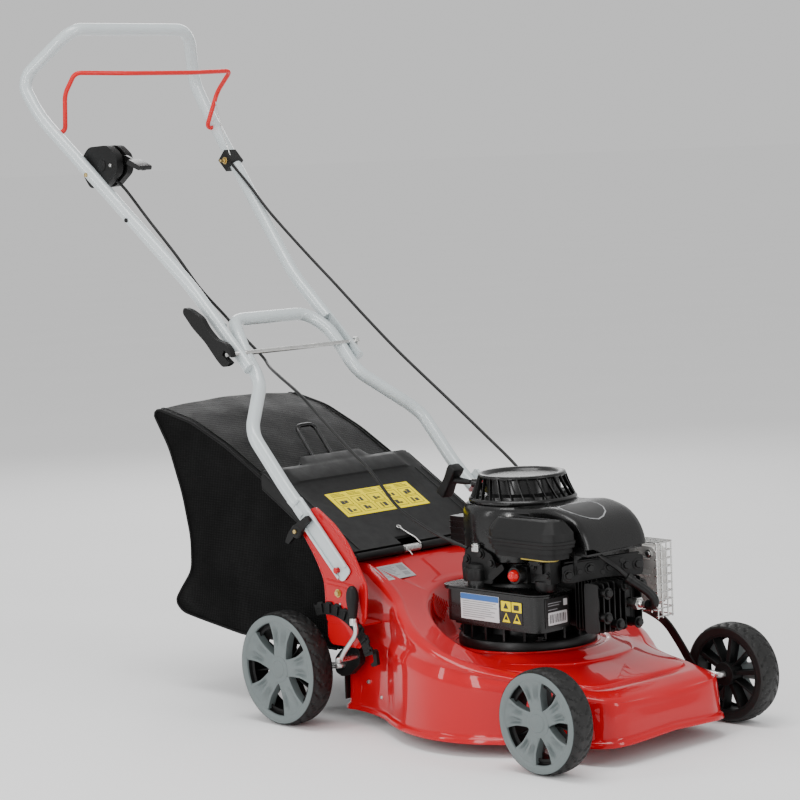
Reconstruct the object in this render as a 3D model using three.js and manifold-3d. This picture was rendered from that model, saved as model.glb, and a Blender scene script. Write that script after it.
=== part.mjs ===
// Petrol push lawn mower with a rear grass bag. Millimetres, +X forward, +Y to the mower's left, +Z up.
// Built with x = 0 at the front wheels' spindle, y = 0 on the centre plane and z = 0 on the ground;
// the exported group is then moved so that its origin is the middle of its own bottom.
import * as THREE from "three";
import { mergeVertices } from "three/addons/utils/BufferGeometryUtils.js";
import Module from "manifold-3d";

// ---- driving dimensions ----
const GAP = 0.3; // between touching pieces
const FRONT_WHEEL = { radius: 76, width: 43, face: 229, x: 0 };
const REAR_WHEEL = { radius: 89.3, width: 43, face: 236.6, x: -550 };
const AXLE_RADIUS = 5;
const FRONT_TORSION = { x: -40, z: 82 }; // where the front axle turns in the deck
const REAR_TORSION = { x: -470, z: 95 }; // where the rear axle turns in the deck
const REAR_LINK_ARM = 22; // link pin above the rear torsion axis
const FRONT_LINK_ARM = 11; // link pin below the front torsion axis
const CRANK_X = -230; // the engine's vertical crankshaft
const SHEET = 2.5; // deck steel, thick enough to mesh well
const PAN_Z = 135; // flat top of the deck, under the engine
const NOSE_X = 60;
const DECK_REAR_X = -492;
const LIP_Z = 20;
const NOSE_LIP_Z = 33;
const RIDGE_FRONT_Z = 100;
const RIDGE_REAR_Z = 252;
const CHUTE_HALF = 136; // half width of the grass opening
const CHUTE_TOP = 240;
const OPENING_DEPTH = 40; // how far the grass opening cuts into the deck's rear
const TUBE_RADIUS = 11; // handle tube
const HANDLE_PIVOT = { x: -443, z: 250 }; // where the lower handle folds, in the brackets
const TIE = { x: -740, z: 570 }; // the tie rod, where the upper handle folds
const CAM_Y = -148.3; // cam lever's middle plane
const BRACKET_Y = 190;
const LUG_Y = 155; // where the axles' link lugs stand
const LINK_Y = 173; // middle of the height link
const LINK_PIN_RADIUS = 2.5;
const BAIL_PIVOT = { x: -1141, z: 944 };
const CAM_TILT = THREE.MathUtils.degToRad(33.5); // cam lever: from straight back, up to its tip
const HINGE = { x: -452, z: 262 }; // rear flap's hinge
const FLAP_SLOPE = THREE.MathUtils.degToRad(30);
const FLAP_LENGTH = 240;
const FLAP_HALF = 160;
const BLADE_RADIUS = 198;
const BLADE_Z = 52;

const COLOURS = {
  red: [0xd01018, 0.3, 0.2],
  handleGrey: [0xc4cdcf, 0.35, 0.3],
  zinc: [0xb8b8b4, 0.35, 0.9],
  brass: [0xb08a3c, 0.35, 0.9],
  steel: [0x9a9a98, 0.4, 0.95],
  castBlack: [0x1c1c1e, 0.5, 0.5],
  gloss: [0x111113, 0.25, 0.1],
  plastic: [0x18181a, 0.6, 0.0],
  rubber: [0x141415, 0.8, 0.0],
  coverGrey: [0x96a0a0, 0.55, 0.0],
  bailRed: [0xd8201c, 0.4, 0.1],
  fabric: [0x101011, 0.95, 0.0],
  primer: [0xc81818, 0.35, 0.0],
};

const wasm = await Module();
wasm.setup();
const mower = new THREE.Group();
const { degToRad } = THREE.MathUtils;
const v3 = (x, y, z) => new THREE.Vector3(x, y, z);

// ---- solids, joins and cuts ----
function solidOf(geometry) {
  const bare = new THREE.BufferGeometry();
  bare.setAttribute("position", geometry.getAttribute("position"));
  if (geometry.index) bare.setIndex(geometry.index);
  const merged = mergeVertices(bare, 1e-3);
  return new wasm.Manifold(
    new wasm.Mesh({
      numProp: 3,
      vertProperties: merged.attributes.position.array,
      triVerts: new Uint32Array(merged.index.array),
    }),
  );
}

function geometryOf(solid) {
  const mesh = solid.getMesh();
  const geometry = new THREE.BufferGeometry();
  geometry.setAttribute("position", new THREE.BufferAttribute(mesh.vertProperties, 3));
  geometry.setIndex(new THREE.BufferAttribute(mesh.triVerts, 1));
  return geometry;
}

const join = (first, ...rest) =>
  geometryOf(rest.reduce((sum, g) => sum.add(solidOf(g)), solidOf(first)));
const cut = (first, ...rest) =>
  geometryOf(rest.reduce((sum, g) => sum.subtract(solidOf(g)), solidOf(first)));
const common = (first, second) => geometryOf(solidOf(first).intersect(solidOf(second)));

// ---- plain shapes ----
// A box between two corners.
function block([x0, y0, z0], [x1, y1, z1]) {
  const box = new THREE.BoxGeometry(x1 - x0, y1 - y0, z1 - z0);
  return box.translate((x0 + x1) / 2, (y0 + y1) / 2, (z0 + z1) / 2);
}

// A solid of revolution about a line parallel to Y. The profile's points are [radius, y].
function turnedY(profile, { x, z }, segments = 24) {
  const closed = profile.map(([r, y]) => new THREE.Vector2(Math.max(r, 0), y));
  if (profile[0][0] > 0) closed.push(closed[0].clone());
  return new THREE.LatheGeometry(closed, segments).translate(x, 0, z);
}

// A solid of revolution about a vertical line. The profile's points are [radius, z].
function turnedZ(profile, { x, y }, segments = 32) {
  const closed = profile.map(([r, z]) => new THREE.Vector2(Math.max(r, 0), z));
  if (profile[0][0] > 0) closed.push(closed[0].clone());
  return new THREE.LatheGeometry(closed, segments).rotateX(Math.PI / 2).translate(x, y, 0);
}

// A round bar from one point to another.
function bar(from, to, radius, segments = 12) {
  const length = from.distanceTo(to);
  const rod = new THREE.CylinderGeometry(radius, radius, length, segments);
  const turn = new THREE.Quaternion().setFromUnitVectors(
    v3(0, 1, 0), to.clone().sub(from).normalize());
  const middle = from.clone().add(to).multiplyScalar(0.5);
  return rod.applyQuaternion(turn).translate(middle.x, middle.y, middle.z);
}

// A flat plate in the XZ plane between two values of y. The outline's points are [x, z].
function plateXZ(outline, y0, y1) {
  const shape = new THREE.Shape(outline.map(([x, z]) => new THREE.Vector2(x, z)));
  const plate = new THREE.ExtrudeGeometry(shape, { depth: y1 - y0, bevelEnabled: false });
  return plate.rotateX(Math.PI / 2).translate(0, y1, 0);
}

// A flat plate in the XY plane between two heights. The outline's points are [x, y].
function plateXY(outline, z0, z1) {
  const shape = new THREE.Shape(outline.map(([x, y]) => new THREE.Vector2(x, y)));
  const plate = new THREE.ExtrudeGeometry(shape, { depth: z1 - z0, bevelEnabled: false });
  return plate.translate(0, 0, z0);
}

// A path whose sections stand exactly at the given stations, so that straight runs take one step.
class StationPath extends THREE.Curve {
  constructor(stations) {
    super();
    this.stations = stations;
  }
  getPoint(t) {
    const place = t * (this.stations.length - 1);
    const i = Math.min(Math.floor(place + 1e-9), this.stations.length - 2);
    return this.stations[i].clone().lerp(this.stations[i + 1], place - i);
  }
  getPointAt(u) {
    return this.getPoint(u);
  }
  getTangentAt(u) {
    const last = this.stations.length - 1;
    const i = Math.round(u * last);
    const before = this.stations[Math.max(i - 1, 0)];
    const here = this.stations[i];
    const after = this.stations[Math.min(i + 1, last)];
    const arriving = here.clone().sub(before).normalize();
    return arriving.add(after.clone().sub(here).normalize()).normalize();
  }
}

// Corners of a polyline turned into bends of the given radius, each of a few steps.
function bent(points, radius, steps = 5) {
  const stations = [points[0]];
  for (let i = 1; i < points.length - 1; i++) {
    const back = points[i - 1].clone().sub(points[i]);
    const ahead = points[i + 1].clone().sub(points[i]);
    const reach = Math.min(radius, back.length() * 0.48, ahead.length() * 0.48);
    const start = points[i].clone().add(back.setLength(reach));
    const end = points[i].clone().add(ahead.setLength(reach));
    const bend = new THREE.QuadraticBezierCurve3(start, points[i], end);
    stations.push(...bend.getPoints(steps));
  }
  return [...stations, points.at(-1)];
}

function circle(radius, sides) {
  const shape = new THREE.Shape();
  for (let i = 0; i < sides; i++) {
    const a = (i / sides) * 2 * Math.PI;
    const point = [radius * Math.cos(a), radius * Math.sin(a)];
    if (i) shape.lineTo(...point);
    else shape.moveTo(...point);
  }
  shape.closePath();
  return shape;
}

// A round tube or rod through the given stations.
function tube(stations, radius, sides = 10) {
  return new THREE.ExtrudeGeometry(circle(radius, sides), {
    steps: stations.length - 1,
    extrudePath: new StationPath(stations),
  });
}

// A smooth cable through a few hand-placed points.
function cable(points, radius, step = 26) {
  const route = new THREE.CatmullRomCurve3(points, false, "centripetal");
  const steps = Math.ceil(route.getLength() / step);
  return tube(route.getSpacedPoints(steps), radius, 6);
}

function add(name, geometry, [colour, roughness, metalness]) {
  const material = new THREE.MeshStandardMaterial({ color: colour, roughness, metalness });
  const mesh = new THREE.Mesh(geometry, material);
  mesh.name = name;
  mower.add(mesh);
  return mesh;
}

// The same shape on the other side of the centre plane, still facing out.
function flipped(geometry) {
  const mirror = geometry.clone().scale(1, -1, 1);
  const index = Array.from(mirror.index.array);
  for (let i = 0; i < index.length; i += 3) [index[i + 1], index[i + 2]] = [index[i + 2], index[i + 1]];
  return mirror.setIndex(index);
}

const bothSides = (make) => [["right", -1], ["left", 1]].forEach(([side, s]) => make(side, s));
const mirroredY = (stations, s) => stations.map((p) => v3(p.x, p.y * s, p.z));

// ---- deck: one pressed shell, lofted from the engine pan out to the rolled lip ----
// Half of the lip's outline in plan, from the nose's middle round the left side to the rear.
const LIP_OUTLINE = [
  [NOSE_X, 0], [NOSE_X, 70], [57, 105], [44, 129], [6, 143], [-44, 150], [-86, 160], [-120, 182],
  [-168, 208], [-230, 218], [-292, 208], [-345, 186], [-384, 165], [-424, 152], [-464, 146],
  [DECK_REAR_X, 144], [DECK_REAR_X, 96], [DECK_REAR_X, 48], [DECK_REAR_X, 0],
];

// The deck's top rises towards the rear flap; this is its height at one place along the mower.
function topHeight(x) {
  const rise = Math.min(1, Math.max(0, (NOSE_X - x) / (NOSE_X + 450)));
  return RIDGE_FRONT_Z + (RIDGE_REAR_Z - RIDGE_FRONT_Z) * rise ** 1.9;
}

// The shell's upper surface under one point of the lip, as [radius from the crankshaft, height].
function deckProfile(x, y) {
  const reach = Math.hypot(x - CRANK_X, y);
  const angle = Math.atan2(y, x - CRANK_X);
  const round = Math.abs(angle) / Math.PI; // 0 at the nose, 1 at the rear
  const inset = 22 + 20 * Math.cos(angle) ** 2;
  const ridge = topHeight(CRANK_X + (reach - inset) * Math.cos(angle));
  const rim = Math.max(topHeight(CRANK_X + 152 * Math.cos(angle)), PAN_Z - 7);
  const shoulder = 82 + 72 * round;
  const lip = NOSE_LIP_Z + (LIP_Z - NOSE_LIP_Z) * Math.min(1, round * 3.2);
  return [
    [30, PAN_Z], [108, PAN_Z], [126, PAN_Z + 1], [138, PAN_Z + (rim - PAN_Z) * 0.45],
    [152, rim], [reach - inset, ridge], [reach - inset * 0.55, ridge - 8],
    [reach - 13, Math.min(shoulder + 10, ridge - 14)], [reach - 9, shoulder - 8],
    [reach - 6, lip + 22], [reach - 5, lip + 7], [reach, lip + 3], [reach + 1, lip],
  ];
}

function deckShell() {
  const half = LIP_OUTLINE.map(([x, y]) => v3(x, y, 0));
  const otherHalf = half.slice(1, -1).reverse().map((p) => v3(p.x, -p.y, 0));
  const outline = new THREE.CatmullRomCurve3([...half, ...otherHalf], true, "centripetal");
  const around = 64;
  const rings = outline.getSpacedPoints(around).slice(0, around).map(({ x, y }) => {
    const upper = deckProfile(x, y).map(([r, z]) => new THREE.Vector2(r, z));
    const lower = upper.map((p, i) => {
      const before = upper[Math.max(i - 1, 0)];
      const after = upper[Math.min(i + 1, upper.length - 1)];
      const along = after.clone().sub(before).normalize();
      return new THREE.Vector2(p.x + along.y * SHEET, p.y - along.x * SHEET);
    });
    lower[0].set(upper[0].x, upper[0].y - SHEET);
    const angle = Math.atan2(y, x - CRANK_X);
    return [...upper, ...lower.reverse()].map((p) =>
      v3(CRANK_X + p.x * Math.cos(angle), p.x * Math.sin(angle), p.y));
  });
  const size = rings[0].length;
  const index = [];
  rings.forEach((_, i) => {
    const next = ((i + 1) % around) * size;
    for (let k = 0; k < size; k++) {
      const a = i * size + k;
      const b = i * size + ((k + 1) % size);
      const c = next + k;
      const d = next + ((k + 1) % size);
      index.push(a, b, d, a, d, c);
    }
  });
  const geometry = new THREE.BufferGeometry().setFromPoints(rings.flat()).setIndex(index);
  const rearOpening = block(
    [DECK_REAR_X - 20, -CHUTE_HALF, -10],
    [DECK_REAR_X + OPENING_DEPTH, CHUTE_HALF, CHUTE_TOP],
  );
  const axleHoles = [FRONT_TORSION, REAR_TORSION].map(({ x, z }) =>
    bar(v3(x, -240, z), v3(x, 240, z), AXLE_RADIUS + 0.6, 16));
  return cut(geometry, rearOpening, ...axleHoles);
}
add("deck_shell", deckShell(), COLOURS.red);

// Chute floor: carries the cut grass from the blade chamber up over the rear axle.
const CHUTE_RAMP = [[-438, 26], [-434, 26], [-446, 112], [-450, 112]];
const CHUTE_LEDGE = [[-450, 108], [-446, 108], [-446, 112], [-488, 122], [-488, 118]];
add("discharge_chute", join(
  plateXZ(CHUTE_RAMP, -CHUTE_HALF + 6, CHUTE_HALF - 6),
  plateXZ(CHUTE_LEDGE, -CHUTE_HALF + 6, CHUTE_HALF - 6),
), COLOURS.plastic);

// ---- handle brackets: pressed plates that stand on the deck and hold the lower handle ----
const BRACKET_OUTLINE = [
  [-480, 165], [-400, 165], [-389, 178], [-384, 221], [-388, 237], [-408, 271], [-426, 296],
  [-452, 320], [-493, 344], [-506, 340], [-534, 312], [-534, 300], [-522, 296], [-500, 268],
  [-482, 236], [-478, 214],
];
const LOCK = { x: -525, z: 305 };
bothSides((side, s) => {
  const [inner, outer] = [BRACKET_Y - 3, BRACKET_Y];
  const hole = (x, z, r) => bar(v3(x, -230, z), v3(x, 230, z), r, 12);
  const plate = plateXZ(BRACKET_OUTLINE, inner, outer);
  const foot = block([-478, 155, 165], [-402, inner + 1, 168]);
  const pivotPin = bar(v3(HANDLE_PIVOT.x, inner + 1, HANDLE_PIVOT.z),
    v3(HANDLE_PIVOT.x, BRACKET_Y + 11, HANDLE_PIVOT.z), 4, 12);
  const whole = cut(join(plate, foot, pivotPin), hole(HINGE.x, HINGE.z, 3.4), hole(LOCK.x, LOCK.z, 3.4));
  add(`handle_bracket_${side}`, s > 0 ? whole : flipped(whole), COLOURS.red);
});

// Wing locks that hold the lower handle down in the brackets.
bothSides((side, s) => {
  const out = BRACKET_Y + 8.4;
  const wing = plateXZ([
    [-536, 291], [-548, 283], [-552, 290], [-538, 303], [-530, 315], [-516, 322], [-500, 332],
    [-494, 325], [-508, 312], [-516, 300], [-526, 294],
  ], out, out + 7);
  const screw = bar(v3(LOCK.x, BRACKET_Y + GAP, LOCK.z), v3(LOCK.x, out + 1, LOCK.z), 3, 12);
  const whole = join(wing, screw);
  add(`bracket_lock_${side}`, s > 0 ? whole : flipped(whole), COLOURS.plastic);
});

// ---- height adjustment: two cranked axles joined by a link, moved by one lever ----
function crankedAxle(spindle, torsion, pinZ, wheel, cornerY, lugLow, lugHigh) {
  const arm = [
    v3(spindle.x, wheel.face - 13, spindle.z),
    v3(spindle.x, wheel.face - wheel.width - 9.5, spindle.z),
    v3(torsion.x, cornerY, torsion.z),
  ];
  const rod = tube(bent([...mirroredY(arm, -1), ...[...arm].reverse()], 7, 3), AXLE_RADIUS, 10);
  const lug = block([torsion.x - 7, LUG_Y, lugLow], [torsion.x + 7, LUG_Y + 4, lugHigh]);
  const pin = bar(v3(torsion.x, LUG_Y + 2, pinZ), v3(torsion.x, LINK_Y + 5, pinZ), LINK_PIN_RADIUS, 10);
  return join(rod, lug, pin);
}
const REAR_PIN_Z = REAR_TORSION.z + REAR_LINK_ARM;
const FRONT_PIN_Z = FRONT_TORSION.z - FRONT_LINK_ARM;
const frontSpindle = { x: FRONT_WHEEL.x, z: FRONT_WHEEL.radius };
const rearSpindle = { x: REAR_WHEEL.x, z: REAR_WHEEL.radius };
add("front_axle", crankedAxle(frontSpindle, FRONT_TORSION, FRONT_PIN_Z, FRONT_WHEEL, 162,
  FRONT_PIN_Z - 6, FRONT_TORSION.z + 3), COLOURS.zinc);
add("rear_axle", crankedAxle(rearSpindle, REAR_TORSION, REAR_PIN_Z, REAR_WHEEL, 176,
  REAR_TORSION.z - 3, REAR_PIN_Z + 6), COLOURS.zinc);

// Flat link that arches over the deck's left shoulder, from the rear crank to the front crank.
const LINK_ROUTE = [
  v3(REAR_TORSION.x - 7, LINK_Y, REAR_PIN_Z - 2), v3(-432, LINK_Y + 1, 128), v3(-388, 184, 144),
  v3(-345, 203, 155), v3(-270, 207, 159), v3(-190, 204, 160), v3(-140, 188, 156),
  v3(-102, 175, 145), v3(-77, LINK_Y, 120), v3(-56, LINK_Y, 92), v3(-45, LINK_Y, 76),
  v3(FRONT_TORSION.x + 4, LINK_Y, FRONT_PIN_Z - 7),
];
function linkBar() {
  const section = new THREE.Shape([
    new THREE.Vector2(-1.75, -7), new THREE.Vector2(1.75, -7),
    new THREE.Vector2(1.75, 7), new THREE.Vector2(-1.75, 7),
  ]);
  const route = new THREE.CatmullRomCurve3(LINK_ROUTE, false, "centripetal").getSpacedPoints(26);
  const strip = new THREE.ExtrudeGeometry(section, {
    steps: route.length - 1,
    extrudePath: new StationPath(route),
  });
  const hole = (x, z, clearance) => bar(v3(x, 160, z), v3(x, 190, z), LINK_PIN_RADIUS + clearance, 12);
  return cut(strip, hole(REAR_TORSION.x, REAR_PIN_Z, 0.2), hole(FRONT_TORSION.x, FRONT_PIN_Z, 2.3));
}
add("link_bar", linkBar(), COLOURS.plastic);

// Height lever with its knob, clamped on the rear axle's right-hand end.
const LEVER_Y = -203;
const LEVER_FOOT = { x: -437, z: 112 };
function heightLever() {
  const clamp = plateXZ([
    [-484, 86], [-482, 104], [-470, 112], [-442, 124], [-426, 118], [-428, 102], [-456, 84], [-470, 80],
  ], -168.5, -157);
  const bore = bar(v3(REAR_TORSION.x, -180, REAR_TORSION.z), v3(REAR_TORSION.x, -150, REAR_TORSION.z),
    AXLE_RADIUS + GAP, 12);
  const rod = tube(bent([
    v3(LEVER_FOOT.x, -165, LEVER_FOOT.z), v3(LEVER_FOOT.x, LEVER_Y, LEVER_FOOT.z),
    v3(-403, LEVER_Y, 156), v3(-403, LEVER_Y, 182),
  ], 8, 3), 4, 8);
  return cut(join(clamp, rod), bore);
}
add("height_lever", heightLever(), COLOURS.zinc);
const knobProfile = [
  [0, 182.3], [5.5, 182.3], [7.5, 196], [8.5, 212], [8, 222], [5, 229], [0, 231],
];
add("height_knob", turnedZ(knobProfile, { x: -403, y: LEVER_Y }, 12), COLOURS.plastic);

// Notched quadrant beside the right bracket; the lever springs into one notch at a time.
function heightQuadrant() {
  const [inner, outer, low, high, notches] = [83, 103, degToRad(24), degToRad(106), 7];
  const polar = (r, a) => [REAR_TORSION.x + r * Math.cos(a), REAR_TORSION.z + r * Math.sin(a)];
  const outline = [];
  for (let i = 0; i <= 12; i++) outline.push(polar(inner, low + ((high - low) * i) / 12));
  for (let i = notches * 4; i >= 0; i--) {
    const depth = i % 4 < 2 ? 0 : 5;
    outline.push(polar(outer - depth, low + ((high - low) * i) / (notches * 4)));
  }
  return plateXZ(outline, -(BRACKET_Y + 3.2), -(BRACKET_Y + GAP));
}
add("height_quadrant", heightQuadrant(), COLOURS.plastic);

// ---- wheels: a tyred plastic wheel with five spokes, and a grey cover snapped on its outside ----
const SPOKES = 5;

// Built about the Y axis with the outside towards +Y; y runs from 0 inside to the wheel's width.
function wheelBody({ radius: R, width: w }) {
  const at = { x: 0, z: 0 };
  const rim = turnedY([
    [R - 16, 3], [R - 5, 0], [R, 6], [R, w - 8], [R - 3.4, w - 1], [R - 3.4, w - 5], [R - 16, w - 5],
  ], at, 28);
  const hub = turnedY([
    [AXLE_RADIUS + GAP, -2], [18, -2], [18, w - 11], [AXLE_RADIUS + GAP, w - 11],
  ], at, 16);
  const spokes = [];
  for (let i = 0; i < SPOKES; i++) {
    const spoke = plateXZ([[15, -7], [R - 14, -9], [R - 14, 9], [15, 7]], 8, w - 11);
    spokes.push(spoke.rotateY((i / SPOKES) * 2 * Math.PI));
  }
  return join(rim, hub, ...spokes);
}

function wheelCover({ radius: R, width: w }) {
  const at = { x: 0, z: 0 };
  const [back, front] = [w - 4.7, w];
  const ring = turnedY([
    [R - 15, back], [R - 3.8, back], [R - 3.8, front - 1], [R - 6, front], [R - 13, front],
  ], at, 28);
  const hub = turnedY([
    [0, w - 10.7], [17, w - 10.7], [19, front - 3], [17, front - 1], [0, front - 1],
  ], at, 16);
  const spokes = [];
  for (let i = 0; i < SPOKES; i++) {
    const spoke = plateXZ([[14, -8], [R - 13, -14], [R - 13, 14], [14, 8]], back, front - 2);
    spokes.push(spoke.rotateY((i / SPOKES) * 2 * Math.PI));
  }
  return join(ring, hub, ...spokes);
}

[["front", FRONT_WHEEL], ["rear", REAR_WHEEL]].forEach(([end, wheel]) => {
  bothSides((side, s) => {
    const put = (geometry) => {
      const turned = s > 0 ? geometry : geometry.rotateZ(Math.PI);
      return turned.translate(wheel.x, s * (wheel.face - wheel.width), wheel.radius);
    };
    add(`wheel_${end}_${side}`, put(wheelBody(wheel)), COLOURS.rubber);
    add(`wheel_cover_${end}_${side}`, put(wheelCover(wheel)), COLOURS.coverGrey);
  });
});

// ---- engine ----
const AT_CRANK = { x: CRANK_X, y: 0 };
const OIL_FILLER = { x: -290, y: 80 };

const CONTROL_PLATE_TURN = degToRad(-27);
function crankcase() {
  const sump = turnedZ([
    [12.6, PAN_Z + GAP], [106, PAN_Z + GAP], [106, 150], [84, 158], [84, 234], [58, 242], [58, 262],
    [12.6, 262],
  ], AT_CRANK, 32);
  const barrel = block([-175, -30, 172], [-57, 28, 256]);
  const fins = [];
  for (let x = -96; x < -60; x += 12) fins.push(block([x, -35, 168], [x + 3, 34, 262]));
  const fillerTube = bar(v3(OIL_FILLER.x, OIL_FILLER.y, 145),
    v3(OIL_FILLER.x, OIL_FILLER.y, 224), 11, 12);
  const controlPlate = block([-4, -66, 250], [0, 73, 280]).rotateZ(CONTROL_PLATE_TURN)
    .translate(-47, -25, 0);
  const plateArm = block([-72, -34, 251], [-46, -22, 262]);
  return join(sump, barrel, ...fins, fillerTube, controlPlate, plateArm);
}
add("crankcase", crankcase(), COLOURS.castBlack);

const PLUG = { y: 20, z: 208 };
const plugHole = bar(v3(-44, PLUG.y, PLUG.z), v3(-10, PLUG.y, PLUG.z), 7.4, 12);
add("cylinder_head", cut(block([-56.7, -60, 170], [-28, 38, 248]), plugHole), COLOURS.castBlack);
add("spark_plug", join(
  bar(v3(-43, PLUG.y, PLUG.z), v3(-27, PLUG.y, PLUG.z), 7, 12),
  bar(v3(-27.6, PLUG.y, PLUG.z), v3(-18, PLUG.y, PLUG.z), 9, 6),
  bar(v3(-19, PLUG.y, PLUG.z), v3(-2, PLUG.y, PLUG.z), 4.5, 10)), COLOURS.zinc);

const LEAD_ROUTE = [
  v3(-1.6, PLUG.y, PLUG.z), v3(11, 20, 208), v3(14, 18, 222), v3(0, 3, 238), v3(-14, -11, 252),
];
add("spark_plug_lead", join(
  tube(bent(LEAD_ROUTE, 7, 2), 6.5, 10),
  tube([v3(-11, -8, 249), v3(-22, -22, 266), v3(-38, -34, 281), v3(-48, -38, 290)], 3.5, 8),
), COLOURS.rubber);

function blowerHousing() {
  const hoodOutside = [
    [-215, 352], [-144, 352], [-134, 357], [-88, 352],
    [-56, 338], [-40, 320], [-33, 300], [-33, 289], [-215, 289],
  ];
  const hoodInside = [
    [-215, 348], [-142, 348], [-132, 353], [-90, 348],
    [-59, 335], [-44, 318], [-37, 299], [-37, 280], [-215, 280],
  ];
  const outside = join(
    turnedZ([[0, 268], [92, 268], [92, 344], [84, 352], [0, 352]], AT_CRANK, 36),
    plateXZ(hoodOutside, -72, 59),
    block([-350, -40, 276], [-310, -8, 322]),
  );
  const inside = join(
    turnedZ([[0, 260], [89, 260], [89, 342], [76, 349], [76, 360], [0, 360]], AT_CRANK, 36),
    plateXZ(hoodInside, -69, 56),
  );
  return cut(outside, inside);
}
add("blower_housing", blowerHousing(), COLOURS.gloss);

add("starter_cover", turnedZ([
  [0, 362], [3.7, 362], [3.7, 390], [59, 390], [63, 384], [77, 357], [78, 352.3], [83, 352.3],
  [83, 356], [66, 388], [62, 394], [0, 394],
], AT_CRANK, 36), COLOURS.gloss);
add("starter_pulley", turnedZ([
  [4, 366], [40, 366], [36, 371], [36, 375], [40, 380], [4, 380],
], AT_CRANK, 24), COLOURS.plastic);

// Crankshaft, flywheel, adapter, blade and bolt turn together.
add("crankshaft", turnedZ([
  [5.4, BLADE_Z + 3.3], [12, BLADE_Z + 3.3], [12, 336], [0, 336], [0, BLADE_Z + 28],
  [5.4, BLADE_Z + 28],
], AT_CRANK, 20), COLOURS.steel);
add("flywheel", turnedZ([
  [12.3, 296], [40, 296], [72, 304], [72, 318], [40, 322], [12.3, 322],
], AT_CRANK, 28), COLOURS.castBlack);
add("blade_adapter", turnedZ([
  [12.3, BLADE_Z + 3.3], [30, BLADE_Z + 3.3], [30, BLADE_Z + 8], [19, BLADE_Z + 12],
  [19, BLADE_Z + 26], [12.3, BLADE_Z + 26],
], AT_CRANK, 20), COLOURS.steel);
add("blade_bolt", turnedZ([
  [0, BLADE_Z - 8], [10, BLADE_Z - 8], [10, BLADE_Z - GAP], [5, BLADE_Z - GAP], [5, BLADE_Z + 26],
  [0, BLADE_Z + 26],
], AT_CRANK, 12), COLOURS.zinc);

function blade() {
  const flat = plateXY([
    [-BLADE_RADIUS, -18], [-BLADE_RADIUS + 8, -25], [BLADE_RADIUS, -25], [BLADE_RADIUS, 18],
    [BLADE_RADIUS - 8, 25], [-BLADE_RADIUS, 25],
  ], BLADE_Z, BLADE_Z + 3);
  const wing = (s) => block([s > 0 ? 110 : -180, 19, 0], [s > 0 ? 180 : -110, 40, 3])
    .translate(0, -22, 0).rotateX(degToRad(38)).translate(0, 22, BLADE_Z + 1)
    .rotateZ(s > 0 ? 0 : Math.PI);
  const wings = join(flat, wing(1), block([110, 19, 0], [180, 40, 3]).translate(0, -22, 0)
    .rotateX(degToRad(38)).translate(0, 22, BLADE_Z + 1).rotateZ(Math.PI));
  const bore = new THREE.CylinderGeometry(5.4, 5.4, 20, 12).rotateX(Math.PI / 2).translate(0, 0, BLADE_Z);
  return cut(wings, bore).rotateZ(degToRad(35)).translate(CRANK_X, 0, 0);
}
add("blade", blade(), COLOURS.steel);

// Fuel side of the engine.
const FILLER = { x: -240, y: -90 };
function fuelTank() {
  const outline = [
    [-290, -39], [-297, -46], [-297, -102], [-286, -112], [-110, -112], [-97, -99], [-97, -46],
    [-103, -39],
  ];
  const shrunk = [
    [-286, -43], [-294, -49], [-294, -100], [-284, -109], [-112, -109], [-100, -97], [-100, -48],
    [-105, -43],
  ];
  const flange = [
    [-294, -39], [-302, -46], [-302, -105], [-289, -117], [-107, -117], [-92, -101], [-92, -46],
    [-98, -39],
  ];
  const clearOfEngine = turnedZ([[0, 140], [85, 140], [85, 262], [0, 262]], AT_CRANK, 36);
  const insideClear = turnedZ([[0, 140], [88, 140], [88, 262], [0, 262]], AT_CRANK, 36);
  const neck = turnedZ([[0, 228], [16, 228], [16, 247], [0, 247]], FILLER, 16);
  const neckBore = turnedZ([[0, 220], [12, 220], [12, 250], [0, 250]], FILLER, 16);
  const outside = cut(join(plateXY(outline, 176, 230), plateXY(flange, 226, 230), neck), clearOfEngine);
  return cut(outside, cut(plateXY(shrunk, 179, 227), insideClear), neckBore);
}
add("fuel_tank", fuelTank(), COLOURS.gloss);
add("fuel_cap", turnedZ([
  [16.4, 240], [25, 240], [25, 260], [21, 266], [0, 266], [0, 247.4], [16.4, 247.4],
], FILLER, 16), COLOURS.plastic);
add("oil_filler_cap", turnedZ([[0, 224.3], [14, 224.3], [14, 234], [10, 238], [0, 238]],
  OIL_FILLER, 12), COLOURS.plastic);

const PRIMER = { x: -136, z: 259 };
add("carburettor", join(
  block([-126, -100, 246], [-82, -76, 285.6]),
  block([-114, -77, 252], [-100, -35.6, 274]),
  turnedY([[9.4, -122], [13, -122], [13, -108], [9.4, -108]], PRIMER, 16),
  block([-148, -108.5, 246], [-122, -105, 272]),
  block([-128, -108.5, 252], [-116, -92, 270]),
), COLOURS.castBlack);
add("primer_bulb", turnedY([
  [0, -113], [9, -113], [9, -123], [7.5, -128], [4, -131], [0, -132],
].reverse(), PRIMER, 16), COLOURS.primer);

const FILTER_OUTLINE = [
  [-196, -104], [-190, -120], [-172, -132], [-58, -132], [-42, -123], [-35, -106], [-35, -84],
  [-43, -77], [-150, -77], [-178, -90],
];
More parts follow.
